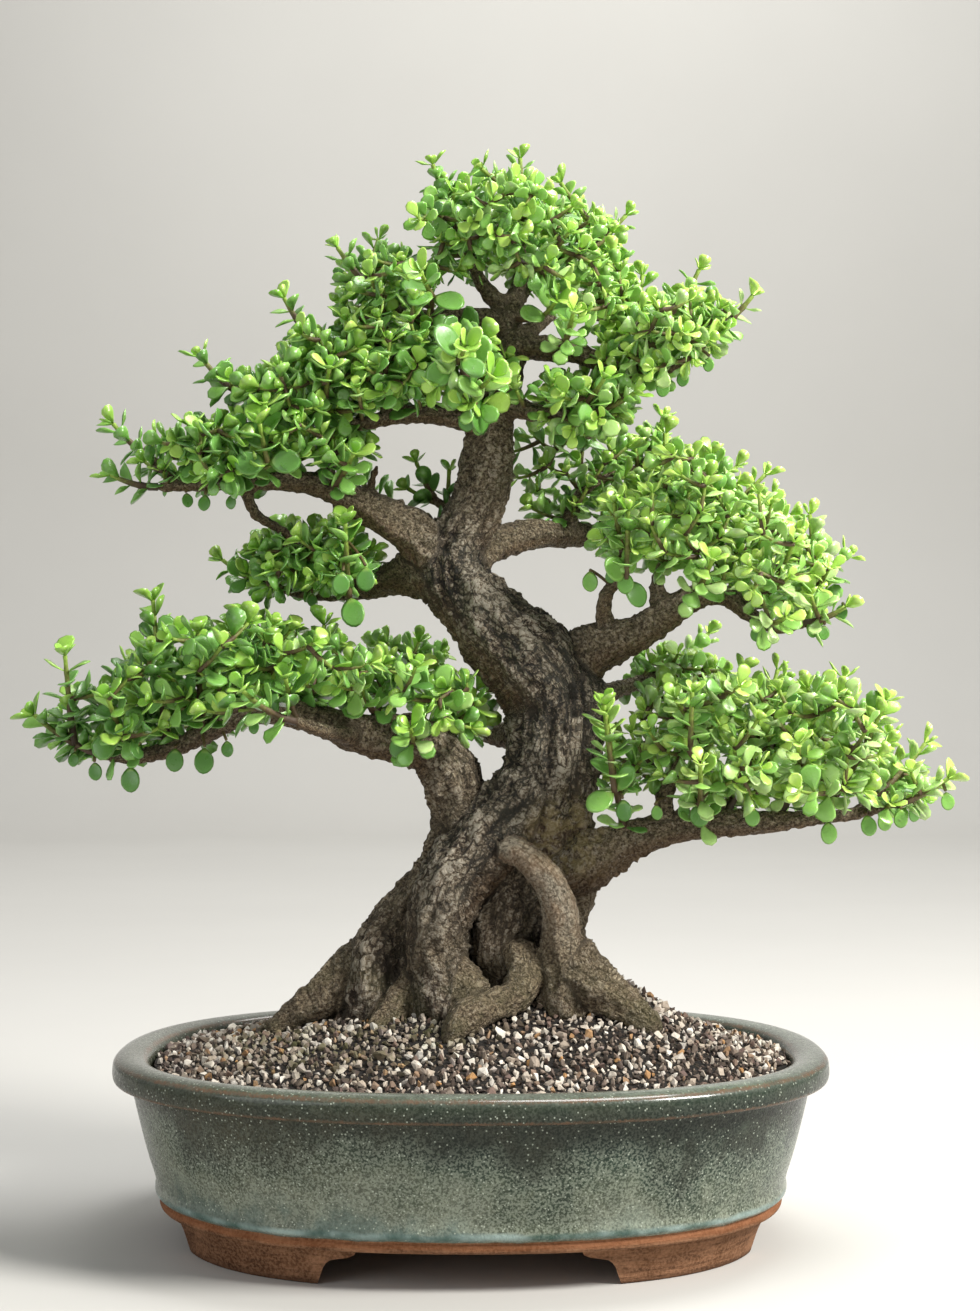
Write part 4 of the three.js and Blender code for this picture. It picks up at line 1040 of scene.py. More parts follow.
def nearest_samples(places, samples, batch=4000):
    """For each place on the skin, the number of the sample that it belongs to."""
    centres = np.array([sample[0] for sample in samples], dtype=np.float32)
    radii = np.array([sample[1] for sample in samples], dtype=np.float32)
    nearest = []
    for start in range(0, len(places), batch):
        gap = np.linalg.norm(places[start:start + batch, None, :] - centres[None, :, :], axis=2)
        nearest.extend(np.argmin(np.abs(gap - radii) + 0.04 * gap, axis=1).tolist())
    return nearest


def grow_wood(material):
    """The trunk, roots and limbs under one skin of bark, and the samples that shoots grow from."""
    shell = Shell()
    samples = lay_runs(shell)
    wood = new_object("jade_wood", shell.mesh("jade_wood"))
    join_skin(wood)
    mesh = wood.data
    places = place_array(mesh)
    arched = list(WOOD).index("arched_root")
    kept = {"stout": [], "under": [], "sleek": [], "flow": []}
    rises = []
    for vertex, found in zip(mesh.vertices, nearest_samples(places, samples)):
        centre, radius, way, across, over, walked, number = samples[found]
        height = vertex.co.z / MM
        offset = vertex.co - centre
        u, v, s = (offset.dot(across) / MM, offset.dot(over) / MM, (walked + offset.dot(way)) / MM)
        shift = RUN_SHIFT * number
        polish = min(1.0, max(0.0, (height - SLEEK_FROM) / SLEEK_OVER)) if number == arched else 0.0
        rises.append(bark_relief(u, v, s, radius / MM, shift) * (1 - 0.4 * polish))
        kept["flow"].append((u * MM, v * MM, (s + shift) * MM))
        kept["sleek"].append(polish)
        kept["stout"].append(radius / MM)
        kept["under"].append(max(0.0, -vertex.normal.z))
    normals = np.empty(len(mesh.vertices) * 3, dtype=np.float32)
    mesh.vertices.foreach_get("normal", normals)
    moved = places + normals.reshape(-1, 3) * np.array(rises, dtype=np.float32)[:, None] * MM
    mesh.vertices.foreach_set("co", moved.ravel())
    mesh.update()
    # The relief also darkens the bark's hollows in its colour, as painted shade.
    keep_values(mesh, "relief", np.clip(np.array(rises) / 7 + 0.45, 0, 1))
    for name, values in kept.items():
        keep_values(mesh, name, values)
    mesh.materials.append(material)
    return smooth(wood), samples


# Foliage
def inside(outline, x, z):
    """Whether a point lies within an outline."""
    within = False
    for (ax, az), (bx, bz) in zip(outline, outline[1:] + outline[:1]):
        if (az > z) != (bz > z) and x < ax + (bx - ax) * (z - az) / (bz - az):
            within = not within
    return within


def room_at(place, taken):
    """How far a place is from the nearest of those taken. Its depth counts for less than half."""
    gaps = (Vector((place.x - other.x, 0.45 * (place.y - other.y), place.z - other.z)) for other in taken)
    return min(gap.length for gap in gaps)


def spread_tips(pad, taken, draw, tries=20):
    """Tips for a pad's finer shoots, each the furthest of a few draws from those already taken."""
    outline, (middle, half) = pad["outline"], pad["depth"]
    xs, zs = zip(*outline)
    tips = []
    while len(tips) < pad["shoots"]:
        best = None
        for _ in range(tries):
            x, z = draw.uniform(min(xs), max(xs)), draw.uniform(min(zs), max(zs))
            if not inside(outline, x, z):
                continue
            side = abs(2 * x - min(xs) - max(xs)) / (max(xs) - min(xs))
            depth = half * math.sqrt(max(0.15, 1 - side**2.4))
            place = seen_at(x, middle + depth * draw.uniform(-1, 1), z)
            room = room_at(place, taken)
            if best is None or room > best[0]:
                best = (room, place)
        if best:
            tips.append(best[1])
            taken.append(best[1])
    return tips


def bowed(base, tip, droop):
    """A shoot's path from its base to its tip, bowed below its chord."""
    length = (tip - base).length
    bend = (base + tip) / 2 - Vector((0, 0, droop * length))
    count = max(3, round(length / (2.6 * MM)))
    shares = [k / count for k in range(count + 1)]
    return [base * (1 - t) ** 2 + bend * 2 * t * (1 - t) + tip * t**2 for t in shares]


def nearest_of(places, aim):
    return min(places, key=lambda place: (place - aim).length)


def twig_values(age):
    """What a twig keeps at its points: its age, and no leaf."""
    return dict(age=age, tone=0.0, length=0.0, turn=(0, 0, 0), form=0.0)


class Foliage:
    """The shoots and leaves of one pad: shoots as tubes, and each leaf as a loose point with its turn."""

    def __init__(self, seed):
        self.shell = Shell("age", "tone", "length", "turn", "form")
        self.draw = random.Random(seed)

    def shoot(self, path, thick, thin, woody, leaf, first=0.16, pairs=None, young=0.86, form=None):
        """A shoot along a path, with pairs of leaves, each pair a quarter turn from the last."""
        draw = self.draw
        length = sum((b - a).length for a, b in zip(path, path[1:])) / MM
        count = pairs or max(2, round(length * (1 - first) / PAIR_SPACING))
        marks = [first + (1 - first) * j / count for j in range(count + 1)]
        last = len(path) - 1

        def radius(t):
            knot = max(0.0, 1 - min(abs(t - mark) for mark in marks) * length / KNOT_REACH)
            return (thick + (thin - thick) * t) * (1 + 0.22 * knot) * MM

        fine = []
        steps = max(last, round(length / SHOOT_STEP))
        for i in range(steps + 1):
            t = i / steps
            a = min(last - 1, int(t * last))
            fine.append((path[a].lerp(path[a + 1], t * last - a), radius(t)))
        self.shell.tube(fine, SHOOT_SIDES, lambda t: twig_values(woody * (1 - t) ** 0.8))
        frames = carried_frames(fine)
        start = draw.uniform(0, math.pi)
        for j, mark in enumerate(marks):
            place, thickness, way, across, over = frames[round(mark * steps)]
            fresh = j / count
            size = leaf * (1 - (1 - young) * fresh**2.2)
            lift = math.radians(14 + 26 * fresh)
            for half in (0, math.pi):
                spin = start + j * math.pi / 2 + half + draw.uniform(-0.3, 0.3)
                out = across * math.cos(spin) + over * math.sin(spin)
                long = size * draw.uniform(0.84, 1.12)
                stand = lift + draw.uniform(-0.25, 0.25)
                self.leaf(place + out * thickness * 0.6, way, out, stand, long, 1 - fresh, form)
        place, _, way, across, over = frames[-1]
        for half in (0, math.pi):
            spin = start + (count + 1) * math.pi / 2 + half
            out = across * math.cos(spin) + over * math.sin(spin)
            self.leaf(place, way, out, math.radians(52), leaf * 0.6, 0.0)

    def leaf(self, place, way, out, lift, length, age, form=None):
        """A leaf that stands out from its shoot and turns its face a little to the light."""
        axis = (out * math.cos(lift) + way * math.sin(lift)).normalized()
        upper = (way * math.cos(lift) - out * math.sin(lift)).normalized()
        away = place - POT
        light = Vector((away.x, away.y, 0)) * 2.2 + Vector((0, -0.12, 0.55))
        light = light - axis * light.dot(axis)
        upper = (upper + light.normalized() * 0.55).normalized() if light.length > 0.05 else upper
        upper = (upper - axis * upper.dot(axis)).normalized()
        self.blade(place, axis, upper, length, age, form)

    def blade(self, place, axis, upper, length, age, form=None, shade=0.0):
        """A leaf's loose point. Without a form it draws one of the plain shapes."""
        form = self.draw.choices(range(len(FORM_SHARES)), FORM_SHARES)[0] if form is None else form
        turn = Matrix((axis, upper.cross(axis), upper)).transposed().to_euler()
        # Painted light: the further right a leaf stands, the lighter and yellower its tone.
        painted_sun = PAINTED_SUN * (place.x - POT.x) / RIM_HALF_WIDTH / MM
        middle = (0.3 if form == BROAD else 0.5) + painted_sun - shade
        tone = min(1.0, max(0.0, self.draw.gauss(middle, 0.22)))
        self.shell.point(place, age=age, tone=tone, length=length * MM, turn=tuple(turn), form=float(form))

    def hang(self, x, y, z, length, skeleton):
        """A single leaf that hangs on a short stalk from the nearest shoot, its face to the front."""
        root = seen_at(x, y, z + length / 2)
        start = nearest_of(skeleton, root)
        path = bowed(start, root, -0.1) if (root - start).length > MM else [start, (start + root) / 2, root]
        stalk = [(place, STALK_RADIUS * MM) for place in path]
        self.shell.tube(stalk, STALK_SIDES, lambda t: twig_values(0.5))
        draw = self.draw
        axis = Vector((draw.uniform(-0.2, 0.2), draw.uniform(-0.15, 0.1), -1)).normalized()
        upper = Vector((draw.uniform(-0.3, 0.3), -1, draw.uniform(-0.1, 0.2)))
        upper = (upper - axis * upper.dot(axis)).normalized()
        self.blade(root + axis * length * 0.06 * MM, axis, upper, length * 0.7, 1.0, BROAD, shade=0.3)


# A leaf's outline from its foot to its end: (share of its length, share of its half width)
PLAIN_EDGE = [(0.0, 0.1), (0.24, 0.4), (0.48, 0.82), (0.7, 1.0), (0.9, 0.74), (1.0, 0.0)]
FINE_EDGE = [
    (0.0, 0.1), (0.06, 0.36), (0.17, 0.66), (0.33, 0.92), (0.5, 1.0), (0.67, 0.97), (0.83, 0.76),
    (0.95, 0.42), (1.0, 0.0),
]


def leaf_shape(name, edge, width, cup, wave, material, plump=1.0):
    """A leaf one unit long: a flat blade, narrow at its foot and round at its end, with a soft rim."""
    rim = [(u, -v) for u, v in edge] + [(u, v) for u, v in edge[-2::-1]]
    middle, flat = 0.58, 0.78
    thick = LEAF_THICK * plump / 2

    def bent(u, v, z):
        return Vector((u, v * width / 2, z + cup * (u - 0.25) ** 2 + wave * v * v + 0.02 * wave * u))

    shell = Shell("blade")
    outer = [shell.point(bent(u, v, 0), blade=(u, v / max(0.2, abs(v)), 0.5)) for u, v in rim]
    inner = [bent(middle + (u - middle) * flat, v * flat, thick) for u, v in rim]
    face = [shell.point(place, blade=(u, v * flat, 1.0)) for place, (u, v) in zip(inner, rim)]
    over = shell.point(bent(middle, 0, thick * 0.8), blade=(middle, 0, 1.0))
    under = shell.point(bent(middle, 0, -thick), blade=(middle, 0, 0.0))
    for k in range(len(rim)):
        n = (k + 1) % len(rim)
        shell.faces.append((outer[k], outer[n], face[n], face[k]))
        shell.faces.append((face[k], face[n], over))
        shell.faces.append((outer[n], outer[k], under))
    return smooth(new_object(name, shell.mesh(name), material))


def geometry_group(name, sockets):
    given = {"Geometry": ("NodeSocketGeometry", None), **sockets}
    return new_group(name, "GeometryNodeTree", given, ("Geometry", "NodeSocketGeometry"))


def picked_shapes(w, collection):
    """The shapes of a collection, each to be picked by its number."""
    sockets = {"Collection": collection, "Separate Children": True, "Reset Children": True}
    return w.node("GeometryNodeCollectionInfo", sockets).outputs[0]


def above(w, value, limit):
    sockets = {0: value, 1: limit}
    return w.node("FunctionNodeCompare", sockets, data_type="FLOAT", operation="GREATER_THAN").outputs[0]


def kept_input(w, name, kind):
    return w.node("GeometryNodeInputNamedAttribute", {"Name": name}, data_type=kind).outputs[0]


def placed_and_painted(w, points, shapes, pick, turn, size, material):
    """A shape on every point, made real and given its material."""
    sockets = {
        "Points": points, "Instance": shapes, "Pick Instance": True, "Instance Index": pick,
        "Rotation": turn, "Scale": size,
    }
    placed = w.node("GeometryNodeInstanceOnPoints", sockets).outputs[0]
    real = w.node("GeometryNodeRealizeInstances", {"Geometry": placed}).outputs[0]
    return w.node("GeometryNodeSetMaterial", {"Geometry": real, "Material": material}).outputs[0]


def leaf_tree():
    """Sets a leaf on every loose point, with its turn and length, and joins the leaves to the twigs."""
    tree, w, given, handed = geometry_group(
        "leaves on shoots",
        {
            "Leaf shapes": ("NodeSocketCollection", None),
            "Leaf size": ("NodeSocketFloat", 1.0),
            "Leaf": ("NodeSocketMaterial", None),
            "Twig": ("NodeSocketMaterial", None),
        },
    )
    length = kept_input(w, "length", "FLOAT")
    turn = kept_input(w, "turn", "FLOAT_VECTOR")
    form = kept_input(w, "form", "FLOAT")
    sockets = {"Geometry": given["Geometry"], "Selection": above(w, length, 1e-5)}
    leafy, twigs = w.node("GeometryNodeSeparateGeometry", sockets, domain="POINT").outputs
    shapes = picked_shapes(w, given["Leaf shapes"])
    euler = w.node("FunctionNodeEulerToRotation", {0: turn}).outputs[0]
    size = w.times(length, given["Leaf size"])
    green = placed_and_painted(w, leafy, shapes, form, euler, size, given["Leaf"])
    brown = w.node("GeometryNodeSetMaterial", {"Geometry": twigs, "Material": given["Twig"]}).outputs[0]
    whole = w.node("GeometryNodeJoinGeometry")
    tree.links.new(brown, whole.inputs[0])
    tree.links.new(green, whole.inputs[0])
    tree.links.new(whole.outputs[0], handed[0])
    return tree


def grain_tree():
    """Strews grains over the upward faces of a surface, no closer than Spacing, each with its own tone."""
    tree, w, given, handed = geometry_group(
        "grains on a heap",
        {
            "Grain shapes": ("NodeSocketCollection", None),
            "Number of shapes": ("NodeSocketInt", 1),
            "Spacing": ("NodeSocketFloat", 0.003),
            "Smallest": ("NodeSocketFloat", 0.8),
            "Largest": ("NodeSocketFloat", 1.4),
            "Palest": ("NodeSocketFloat", 1.0),
            "Lift": ("NodeSocketFloat", 0.0),
            "Seed": ("NodeSocketInt", 1),
            "Grain": ("NodeSocketMaterial", None),
        },
    )

    def drawn(kind, smallest, largest, extra):
        """A draw between two ends for each point, apart from the others by its own addition to the seed."""
        made = w.node("FunctionNodeRandomValue", data_type=kind)
        sockets = [socket for socket in made.inputs if socket.enabled]
        for socket, value in zip(sockets, (smallest, largest)):
            if isinstance(value, bpy.types.NodeSocket):
                tree.links.new(value, socket)
            else:
                socket.default_value = value
        tree.links.new(w.math("ADD", given["Seed"], extra), made.inputs["Seed"])
        return next(socket for socket in made.outputs if socket.enabled)

    up = w.parts(w.node("GeometryNodeInputNormal").outputs[0])[2]
    sockets = {
        "Mesh": given["Geometry"], "Selection": above(w, up, UPWARD), "Distance Min": given["Spacing"],
        "Density Max": DENSEST, "Seed": given["Seed"],
    }
    strewn = w.node("GeometryNodeDistributePointsOnFaces", sockets, distribute_method="POISSON").outputs[0]
    lift = w.node("ShaderNodeCombineXYZ", {2: given["Lift"]}).outputs[0]
    raised = w.node("GeometryNodeSetPosition", {"Geometry": strewn, "Offset": lift}).outputs[0]
    sockets = {"Geometry": raised, "Name": "tone"}
    toned = w.node("GeometryNodeStoreNamedAttribute", sockets, data_type="FLOAT", domain="POINT")
    tree.links.new(drawn("FLOAT", 0.0, given["Palest"], 3), toned.inputs["Value"])
    shapes = picked_shapes(w, given["Grain shapes"])
    pick = drawn("INT", 0, w.math("SUBTRACT", given["Number of shapes"], 1), 7)
    spun = drawn("FLOAT_VECTOR", (0.0, 0.0, 0.0), (6.28, 6.28, 6.28), 5)
    turn = w.node("FunctionNodeEulerToRotation", {0: spun}).outputs[0]
    size = drawn("FLOAT", given["Smallest"], given["Largest"], 9)
    grains = placed_and_painted(w, toned.outputs[0], shapes, pick, turn, size, given["Grain"])
    tree.links.new(grains, handed[0])
    return tree


def set_inputs(modifier, tree, **values):
    """Sets a modifier's named inputs by their sockets' identifiers."""
    for socket in tree.interface.items_tree:
        key = socket.name.replace(" ", "_")
        if socket.in_out == "INPUT" and key in values:
            modifier[socket.identifier] = values[key]


def shapes_collection(name, shapes):
    collection = bpy.data.collections.new(name)
    bpy.context.scene.collection.children.link(collection)
    for shape in shapes:
        bpy.context.scene.collection.objects.unlink(shape)
        collection.objects.link(shape)
    return collection


def drop_collection(collection):
    for shape in list(collection.objects):
        bpy.data.objects.remove(shape)
    bpy.data.collections.remove(collection)


def lead_paths(lead):
    """The paths of one of the part's sprays: its leading shoot and the one that forks from it."""
    base, tip = seen_at(*lead[0]), seen_at(*lead[1])
    path = bowed(base, tip, SHOOT_DROOP)
    if len(lead) < 3:
        return [path]
    bend = (base + tip) / 2 - Vector((0, 0, SHOOT_DROOP * (tip - base).length))
    fork = base * (1 - FORK) ** 2 + bend * 2 * FORK * (1 - FORK) + tip * FORK**2
    return [path, bowed(fork, seen_at(*lead[2]), SHOOT_DROOP)]


def grow_pad(name, pad, samples, seed):
    """A pad's shoots and leaves: its leads, those that stand out, those that hang, and the finer ones."""
    growth = Foliage(seed)
    thin_wood = [sample[0] for sample in samples if sample[1] < THIN_WOOD * MM]
    skeleton = []
    taken = []
    for lead in pad["leads"].values():
        for path in lead_paths(lead):
            growth.shoot(path, *LEAD_RADII, 1.0, pad["leaf"])
            skeleton.extend(path[1:])
            taken.append(path[-1])
    reach = NEAR_WOOD * MM
    near = [place for place in thin_wood if min((place - other).length for other in skeleton) < reach]
    skeleton.extend(near)
    for base, tip, leaf, pairs in SHOW_SHOOTS.get(name, []):
        root, end = seen_at(*base), seen_at(*tip)
        start = nearest_of(skeleton, root)
        stalk = bowed(start, root, 0.1)[:-1] + bowed(root, end, 0.06)
        first = (root - start).length / ((root - start).length + (end - root).length)
        bare = min(0.8, first)
        growth.shoot(stalk, *SHOW_RADII, 0.8, leaf, first=bare, pairs=pairs, young=0.7, form=BROAD)
        taken.append(end)
    for x, y, z, length in HANGING.get(name, []):
        growth.hang(x, y, z, length, skeleton)
    tips = spread_tips(pad, taken, growth.draw)
    while tips:
        gaps = [(min((place - tip).length for place in skeleton), k) for k, tip in enumerate(tips)]
        tip = tips.pop(min(gaps)[1])

        def effort(place):
            """How hard it is for a shoot to reach the tip from a place: far, downwards or from too near."""
            rise = tip - place
            cost = NEAR_COST * MM if rise.length < TOO_NEAR * MM else 0
            return rise.length + 0.9 * max(0.0, -rise.z) + cost

        start = min(skeleton, key=effort)
        path = bowed(start, tip, growth.draw.uniform(0.06, 0.2))
        growth.shoot(path, *FINE_RADII, 0.75, pad["leaf"] * growth.draw.uniform(0.86, 1.08), first=0.2)
        skeleton.extend(path[2:])
    return growth


def grow_foliage(samples, leaf, twig):
    """A piece of foliage for each pad, with the names of the part's sprays that it stands for."""
    shapes = [
        leaf_shape("leaf 0 round", PLAIN_EDGE, 0.8, 0.12, 0.06, leaf),
        leaf_shape("leaf 1 long", PLAIN_EDGE, 0.62, 0.2, 0.1, leaf),
        leaf_shape("leaf 2 cupped", PLAIN_EDGE, 0.72, 0.06, 0.16, leaf),
        leaf_shape("leaf 3 arched", PLAIN_EDGE, 0.68, -0.24, 0.05, leaf),
        leaf_shape("leaf 4 broad", FINE_EDGE, 0.76, 0.1, 0.1, leaf, plump=0.7),
    ]
    collection = shapes_collection("leaf shapes", shapes)
    tree = leaf_tree()
    pads = []
    for seed, (name, pad) in enumerate(PADS.items(), 11):
        growth = grow_pad(name, pad, samples, seed)
        foliage = new_object("foliage_" + name, growth.shell.mesh(name))
        modifier = foliage.modifiers.new("leaves", "NODES")
        modifier.node_group = tree
        set_inputs(modifier, tree, Leaf_shapes=collection, Leaf_size=LEAF_SIZE, Leaf=leaf, Twig=twig)
        settled(foliage)
        smooth(foliage)
        pads.append((foliage, ["spray_%02d" % number for number in pad["leads"]]))
    drop_collection(collection)
    return pads


# Grit
def grain_shape(name, seed, squash, material):
    """An angular chip of stone, about 4 mm across, squashed in depth and height."""
    draw = random.Random(seed)
    work = bmesh.new()
    for _ in range(12):
        way = Vector([draw.gauss(0, 1) for _ in range(3)]).normalized()
        corner = Vector((way.x, way.y * squash[0], way.z * squash[1])) * CHIP_RADIUS
        work.verts.new(corner * draw.uniform(0.86, 1.08) * MM)
    hull = bmesh.ops.convex_hull(work, input=work.verts)
    bmesh.ops.delete(work, geom=list({*hull["geom_interior"], *hull["geom_unused"]}), context="VERTS")
    bmesh.ops.recalc_face_normals(work, faces=work.faces)
    mesh = bpy.data.meshes.new(name)
    work.to_mesh(mesh)
    work.free()
    return new_object(name, mesh, material)


# Each layer's spacing, the smallest and largest scale of its grains, their palest tone, their lift, its seed
LAYERS = {
    "grit_grains": (3.5, 0.62, 1.4, 1.0, 1.0, 5),
    "grit_fines": (3.0, 0.36, 0.72, 0.6, 0.4, 8),
    "grit_lumps": (26.0, 1.4, 2.1, 0.8, 1.4, 3),
}


def merged_copy(name, source):
    """A copy of a node's loose triangles, joined at their corners."""
    work = bmesh.new()
    work.from_mesh(source)
    bmesh.ops.remove_doubles(work, verts=work.verts, dist=1e-6)
    mesh = bpy.data.meshes.new(name)
    work.to_mesh(mesh)
    work.free()
    return mesh


def strew_grit(grain, bed):
    """Layers of grains on the bed of grit."""
    squashes = [(0.8, 0.6), (0.7, 0.45), (0.95, 0.7), (0.6, 0.5), (0.85, 0.8), (0.75, 0.6)]
    shapes = [grain_shape("chip %d" % k, 40 + k, squash, grain) for k, squash in enumerate(squashes)]
    collection = shapes_collection("grain shapes", shapes)
    tree = grain_tree()
    layers = []
    for name, (spacing, small, large, palest, lift, seed) in LAYERS.items():
        strewn = new_object(name, merged_copy(name, bed.data))
        modifier = strewn.modifiers.new("grains", "NODES")
        modifier.node_group = tree
        set_inputs(
            modifier, tree, Grain_shapes=collection, Number_of_shapes=len(shapes), Spacing=spacing * MM,
            Smallest=small, Largest=large, Palest=palest, Lift=lift * MM, Seed=seed, Grain=grain,
        )
        settled(strewn)
        places = place_array(strewn.data) / MM
        away = np.hypot(places[:, 0] - POT.x / MM - DAMP_X, places[:, 1] - DAMP_Y)
        damp = np.clip(1 - np.abs(away - DAMP_RING) / DAMP_WIDTH, 0, 1) * 0.55
        keep_values(strewn.data, "damp", damp)
        layers.append(strewn)
    drop_collection(collection)
    return layers


# Pot
def signed_power(value, power):
    return math.copysign(abs(value) ** power, value)


def oval_at(angle):
    """The rim's oval at an angle: the point on it and the direction that faces outwards there."""
    x, y = (signed_power(v, 2 / OVAL_POWER) for v in (math.cos(angle), math.sin(angle)))
    point = Vector((RIM_HALF_WIDTH * x, RIM_HALF_DEPTH * y, 0))
    steep_x = signed_power(x, OVAL_POWER - 1) / RIM_HALF_WIDTH
    steep_y = signed_power(y, OVAL_POWER - 1) / RIM_HALF_DEPTH
    return point, Vector((steep_x, steep_y, 0)).normalized()


def rounded(profile, rounds):
    """Cuts the corners of a profile, so that they turn softly. Its ends stay."""
    for _ in range(rounds):
        cut = [profile[0]]
        for (a, b), (c, d) in zip(profile, profile[1:]):
            cut += [(a * 0.75 + c * 0.25, b * 0.75 + d * 0.25), (a * 0.25 + c * 0.75, b * 0.25 + d * 0.75)]
        profile = cut + [profile[-1]]
    return profile


def turned_round(name, profile, closed=False):
    """A profile of (inset from the rim's edge, height) swept round the oval, with a lid on each open end."""
    shell = Shell()
    rings = []
    for inset, height in profile:
        ring = []
        for k in range(POT_SIDES):
            point, out = oval_at(2 * math.pi * k / POT_SIDES)
            ring.append(shell.point(POT + (point - out * inset + Vector((0, 0, height))) * MM))
        rings.append(ring)
    pairs = list(zip(rings, rings[1:])) + ([(rings[-1], rings[0])] if closed else [])
    for ring, after in pairs:
        for k in range(POT_SIDES):
            n = (k + 1) % POT_SIDES
            shell.faces.append((ring[k], ring[n], after[n], after[k]))
    if not closed:
        for ring, turn in ((rings[0], -1), (rings[-1], 1)):
            centre = shell.point(Vector((POT.x, POT.y, shell.points[ring[0]].z)))
            for k in range(POT_SIDES):
                face = (ring[k], ring[(k + 1) % POT_SIDES], centre)
                shell.faces.append(face[::turn])
    return new_object(name, shell.mesh(name))


def gap_bar(name, half, turn):
    """The bar that cuts the scrolled gap between two feet."""
    scroll = [
        (18.5, 19.5), (18.2, 17.2), (17.4, 15.0), (14, 13.4), (9.5, 12.6), (6.4, 11.8), (4.5, 10.2),
        (3.2, 8.0), (2.2, 5.0), (1.2, 2.0), (0.2, -1),
    ]
    right = [(half - inset, z) for inset, z in scroll]
    outline = [(-x, z) for x, z in reversed(right)] + right
    reach = 2 * RIM_HALF_WIDTH
    shell = Shell()
    rings = []
    for y in (-reach, reach):
        places = [Vector((x, y, z)) for x, z in outline]
        rings.append([shell.point(POT + Matrix.Rotation(turn, 3, "Z") @ place * MM) for place in places])
    near, far = rings
    for k in range(len(outline)):
        n = (k + 1) % len(outline)
        shell.faces.append((near[k], near[n], far[n], far[k]))
    shell.faces.append(tuple(near[::-1]))
    shell.faces.append(tuple(far))
    bar = new_object(name, shell.mesh(name))
    recalculate(bar)
    return bar


def recalculate(obj):
    """Merges a closed shell's doubles and turns its faces outwards."""
    work = bmesh.new()
    work.from_mesh(obj.data)
    bmesh.ops.remove_doubles(work, verts=work.verts, dist=1e-7)
    bmesh.ops.recalc_face_normals(work, faces=work.faces)
    work.to_mesh(obj.data)
    work.free()


def combine(body, operation, *tools):
    """Joins tools to a body or cuts them from it, and uses them up."""
    for tool in tools:
        cut = body.modifiers.new(operation, "BOOLEAN")
        cut.operation = operation
        cut.solver = "EXACT"
        cut.object = tool
    settled(body)
    for tool in tools:
        bpy.data.objects.remove(tool)


def drain_drill(name, x):
    shell = Shell()
    path = [(POT + Vector((x, 0, z)) * MM, DRAIN_RADIUS * MM) for z in DRILL_HEIGHTS]
    shell.tube(path, 40)
    drill = new_object(name, shell.mesh(name))
    recalculate(drill)
    return drill


# The pot's profile as (inset from the rim's edge, height): up the outside, over the lip and down inside
OUTSIDE = [
    (27.6, FOOT_HEIGHT), (24.6, 17.6), (22.6, 18.8), (22.4, 21.4), (23.4, 22.6), (22, 23.6), (20.4, 25),
    (20.2, 27.4), (21, 31), (16.6, 44), (12, 62), (9.4, 73.4),
]
LIP = [
    (8.4, 76.4), (6.4, 77.4), (1.6, 77.4), (0, 79), (0, 84), (0.6, 87), (3.6, 89), (8, RIM_HEIGHT),
    (13.4, 89), (17.2, 86.6), (19, 82),
]
INSIDE = [(21.5, 60), (28, 34), (30, 28), (FLOOR_INSET, FLOOR_TOP)]
FOOT_BAND = [
    (29.5, FOOT_HEIGHT + 1), (30, 14.5), (31.2, 12), (33.4, 4), (34.2, 0.6), (35, 0), (46, 0), (47, 0.8),
    (46.4, 10), (45, FOOT_HEIGHT + 1),
]
UPPER_EDGE, LOWER_EDGE = 87.6, 78.2  # heights of the lip's two edges, where the glaze runs thin


def throw_pot(material):
    """The pot with its lip, its floor with two drain holes, and its four scrolled feet."""
    profile = [(40, FOOT_HEIGHT), *rounded(OUTSIDE + LIP + INSIDE, 2), (60, FLOOR_TOP)]
    pot = turned_round("glazed_pot", profile)
    recalculate(pot)
    feet = turned_round("feet", rounded(FOOT_BAND, 1), closed=True)
    recalculate(feet)
    front_gap = gap_bar("front gap", FRONT_GAP, 0)
    side_gap = gap_bar("side gap", SIDE_GAP, math.pi / 2)
    combine(feet, "DIFFERENCE", front_gap, side_gap)
    combine(pot, "UNION", feet)
    left_drill = drain_drill("left drill", -DRAIN_SPREAD)
    right_drill = drain_drill("right drill", DRAIN_SPREAD)
    combine(pot, "DIFFERENCE", left_drill, right_drill)
    heights = (place_array(pot.data)[:, 2] - np.float32(POT.z)) / MM
    edge = np.exp(-((heights - UPPER_EDGE) / 1.0) ** 2) + np.exp(-((heights - LOWER_EDGE) / 1.1) ** 2)
    keep_values(pot.data, "edge", edge)
    pot.data.materials.clear()
    pot.data.materials.append(material)
    return smooth(pot, SHARP_EDGE)


# Studio
# The backdrop, in metres: how far it reaches to the front, to the back, up and to each side
BACKDROP_FRONT, BACKDROP_BACK, BACKDROP_TOP, BACKDROP_SIDE = -4.0, 3.0, 5.0, 6.0
BEND, BEND_STEPS = 0.8, 12  # the radius of the curve between floor and wall


def studio(material):
    """A pale floor that curves up behind into a wall."""
    shell = Shell()
    turns = [math.pi / 2 * k / BEND_STEPS for k in range(1, BEND_STEPS + 1)]
    curve = [(BACKDROP_BACK + BEND * math.sin(a), BEND - BEND * math.cos(a)) for a in turns]
    wall_top = (BACKDROP_BACK + BEND, BACKDROP_TOP)
    profile = [(BACKDROP_FRONT, 0), (BACKDROP_BACK, 0), *curve, wall_top]
    sides = (-BACKDROP_SIDE, BACKDROP_SIDE)
    rows = [[shell.point(Vector((x, y, z))) for x in sides] for y, z in profile]
    for near, far in zip(rows, rows[1:]):
        shell.faces.append((near[0], near[1], far[1], far[0]))
    floor = smooth(new_object("studio", shell.mesh("studio"), material))


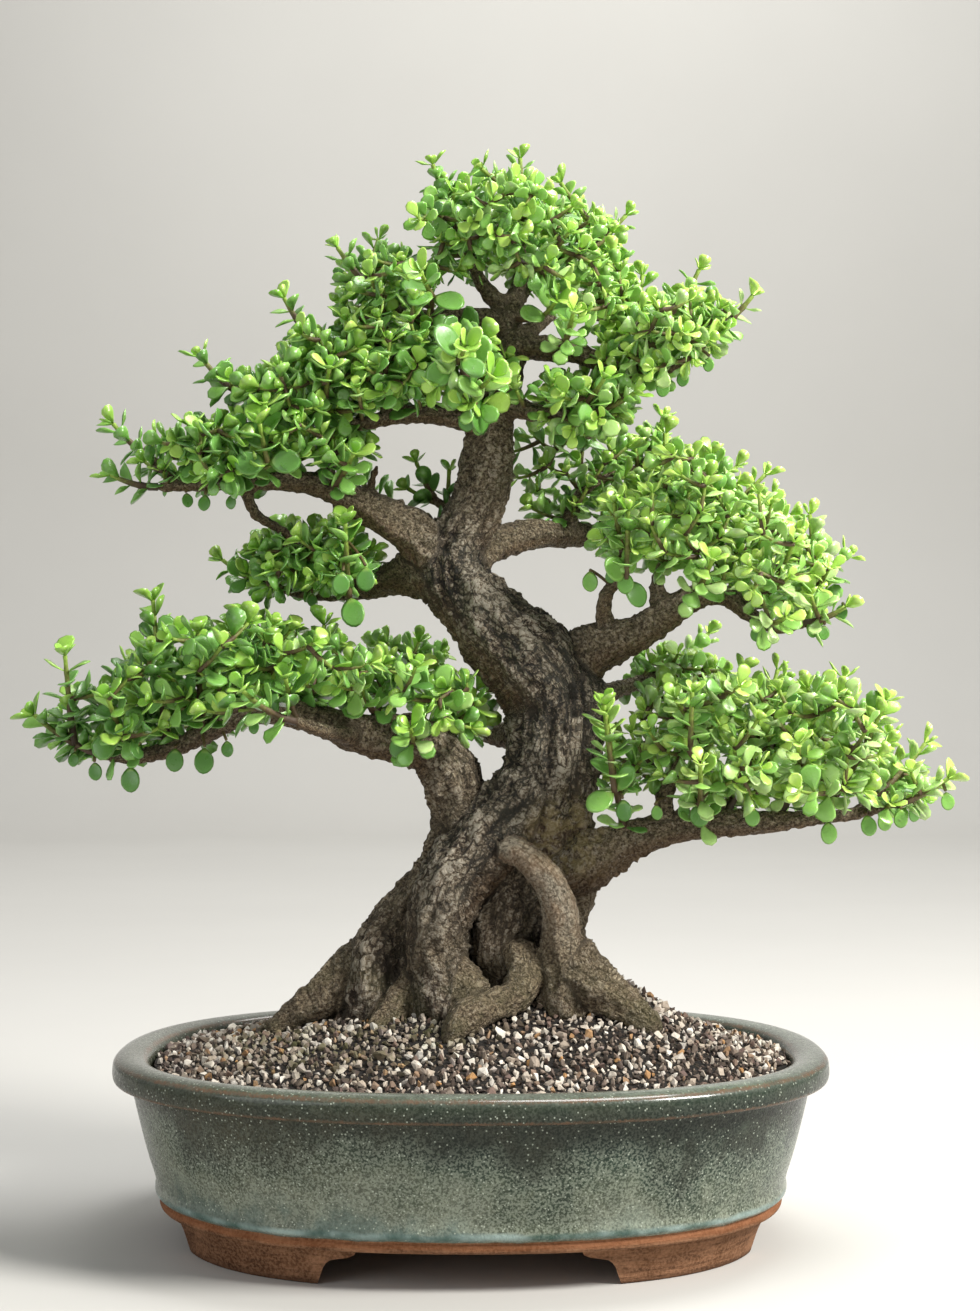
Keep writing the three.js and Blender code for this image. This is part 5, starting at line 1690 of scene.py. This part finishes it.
def lamp(name, place, aim, size, power, colour):
    data = bpy.data.lights.new(name, "AREA")
    data.shape = "DISK"
    data.size = size
    data.energy = power
    data.color = colour
    light = bpy.data.objects.new(name, data)
    light.location = place
    light.rotation_euler = (Vector(aim) - Vector(place)).to_track_quat("-Z", "Y").to_euler()
    bpy.context.scene.collection.objects.link(light)


def light_studio():
    """Soft lamps, in metres and watts: from the right, from the left, from above, and on the wall."""
    lamp("key", (1.25, -0.7, 1.25), (0, 0, 0.25), 0.6, 50, (1.0, 0.98, 0.94))
    lamp("fill", (-1.6, -1.4, 0.9), (0, 0, 0.25), 1.6, 12, (0.95, 0.98, 1.0))
    lamp("top", (0.45, 0.2, 2.0), (0, 0, 0.2), 0.9, 26, (1.0, 1.0, 1.0))
    lamp("wall", (0.3, 1.9, 2.9), (0.2, 3.8, 0.9), 1.6, 56, (1.0, 1.0, 0.98))
    world = bpy.data.worlds.new("studio air")
    world.use_nodes = True
    world.node_tree.nodes["Background"].inputs[0].default_value = (0.94, 0.95, 0.96, 1)
    world.node_tree.nodes["Background"].inputs[1].default_value = 0.3
    bpy.context.scene.world = world


def set_camera():
    data = bpy.data.cameras.new("camera")
    data.lens = LENS
    camera = bpy.data.objects.new("camera", data)
    camera.location = POT + Vector((EYE_X, -VIEW_DISTANCE, EYE_Z)) * MM
    camera.rotation_euler = (math.radians(90 + LOOK_UP), 0, 0)
    bpy.context.scene.collection.objects.link(camera)
    bpy.context.scene.camera = camera


# Assembly
set_camera()
light_studio()
studio(studio_material())
bpy.context.scene.view_settings.view_transform = "Standard"

pot = throw_pot(glaze_material())
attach(pot, "root")
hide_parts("pot")

wood, wood_samples = grow_wood(bark_material())
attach(wood, "root")
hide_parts("trunk")

for foliage, sprays in grow_foliage(wood_samples, leaf_material(), twig_material()):
    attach(foliage, "root")
    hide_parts(*sprays)

bed = frame["nodes"]["grit"]
for strewn in strew_grit(grain_material(), bed):
    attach(strewn, "root")

kept_nodes = {
    "grit": soil_and_gap_shade_material(),
    "drain_screen_left": screen_material(),
    "drain_screen_right": screen_material(),
}
for name, material in kept_nodes.items():
    frame["nodes"][name].material_slots[0].material = material
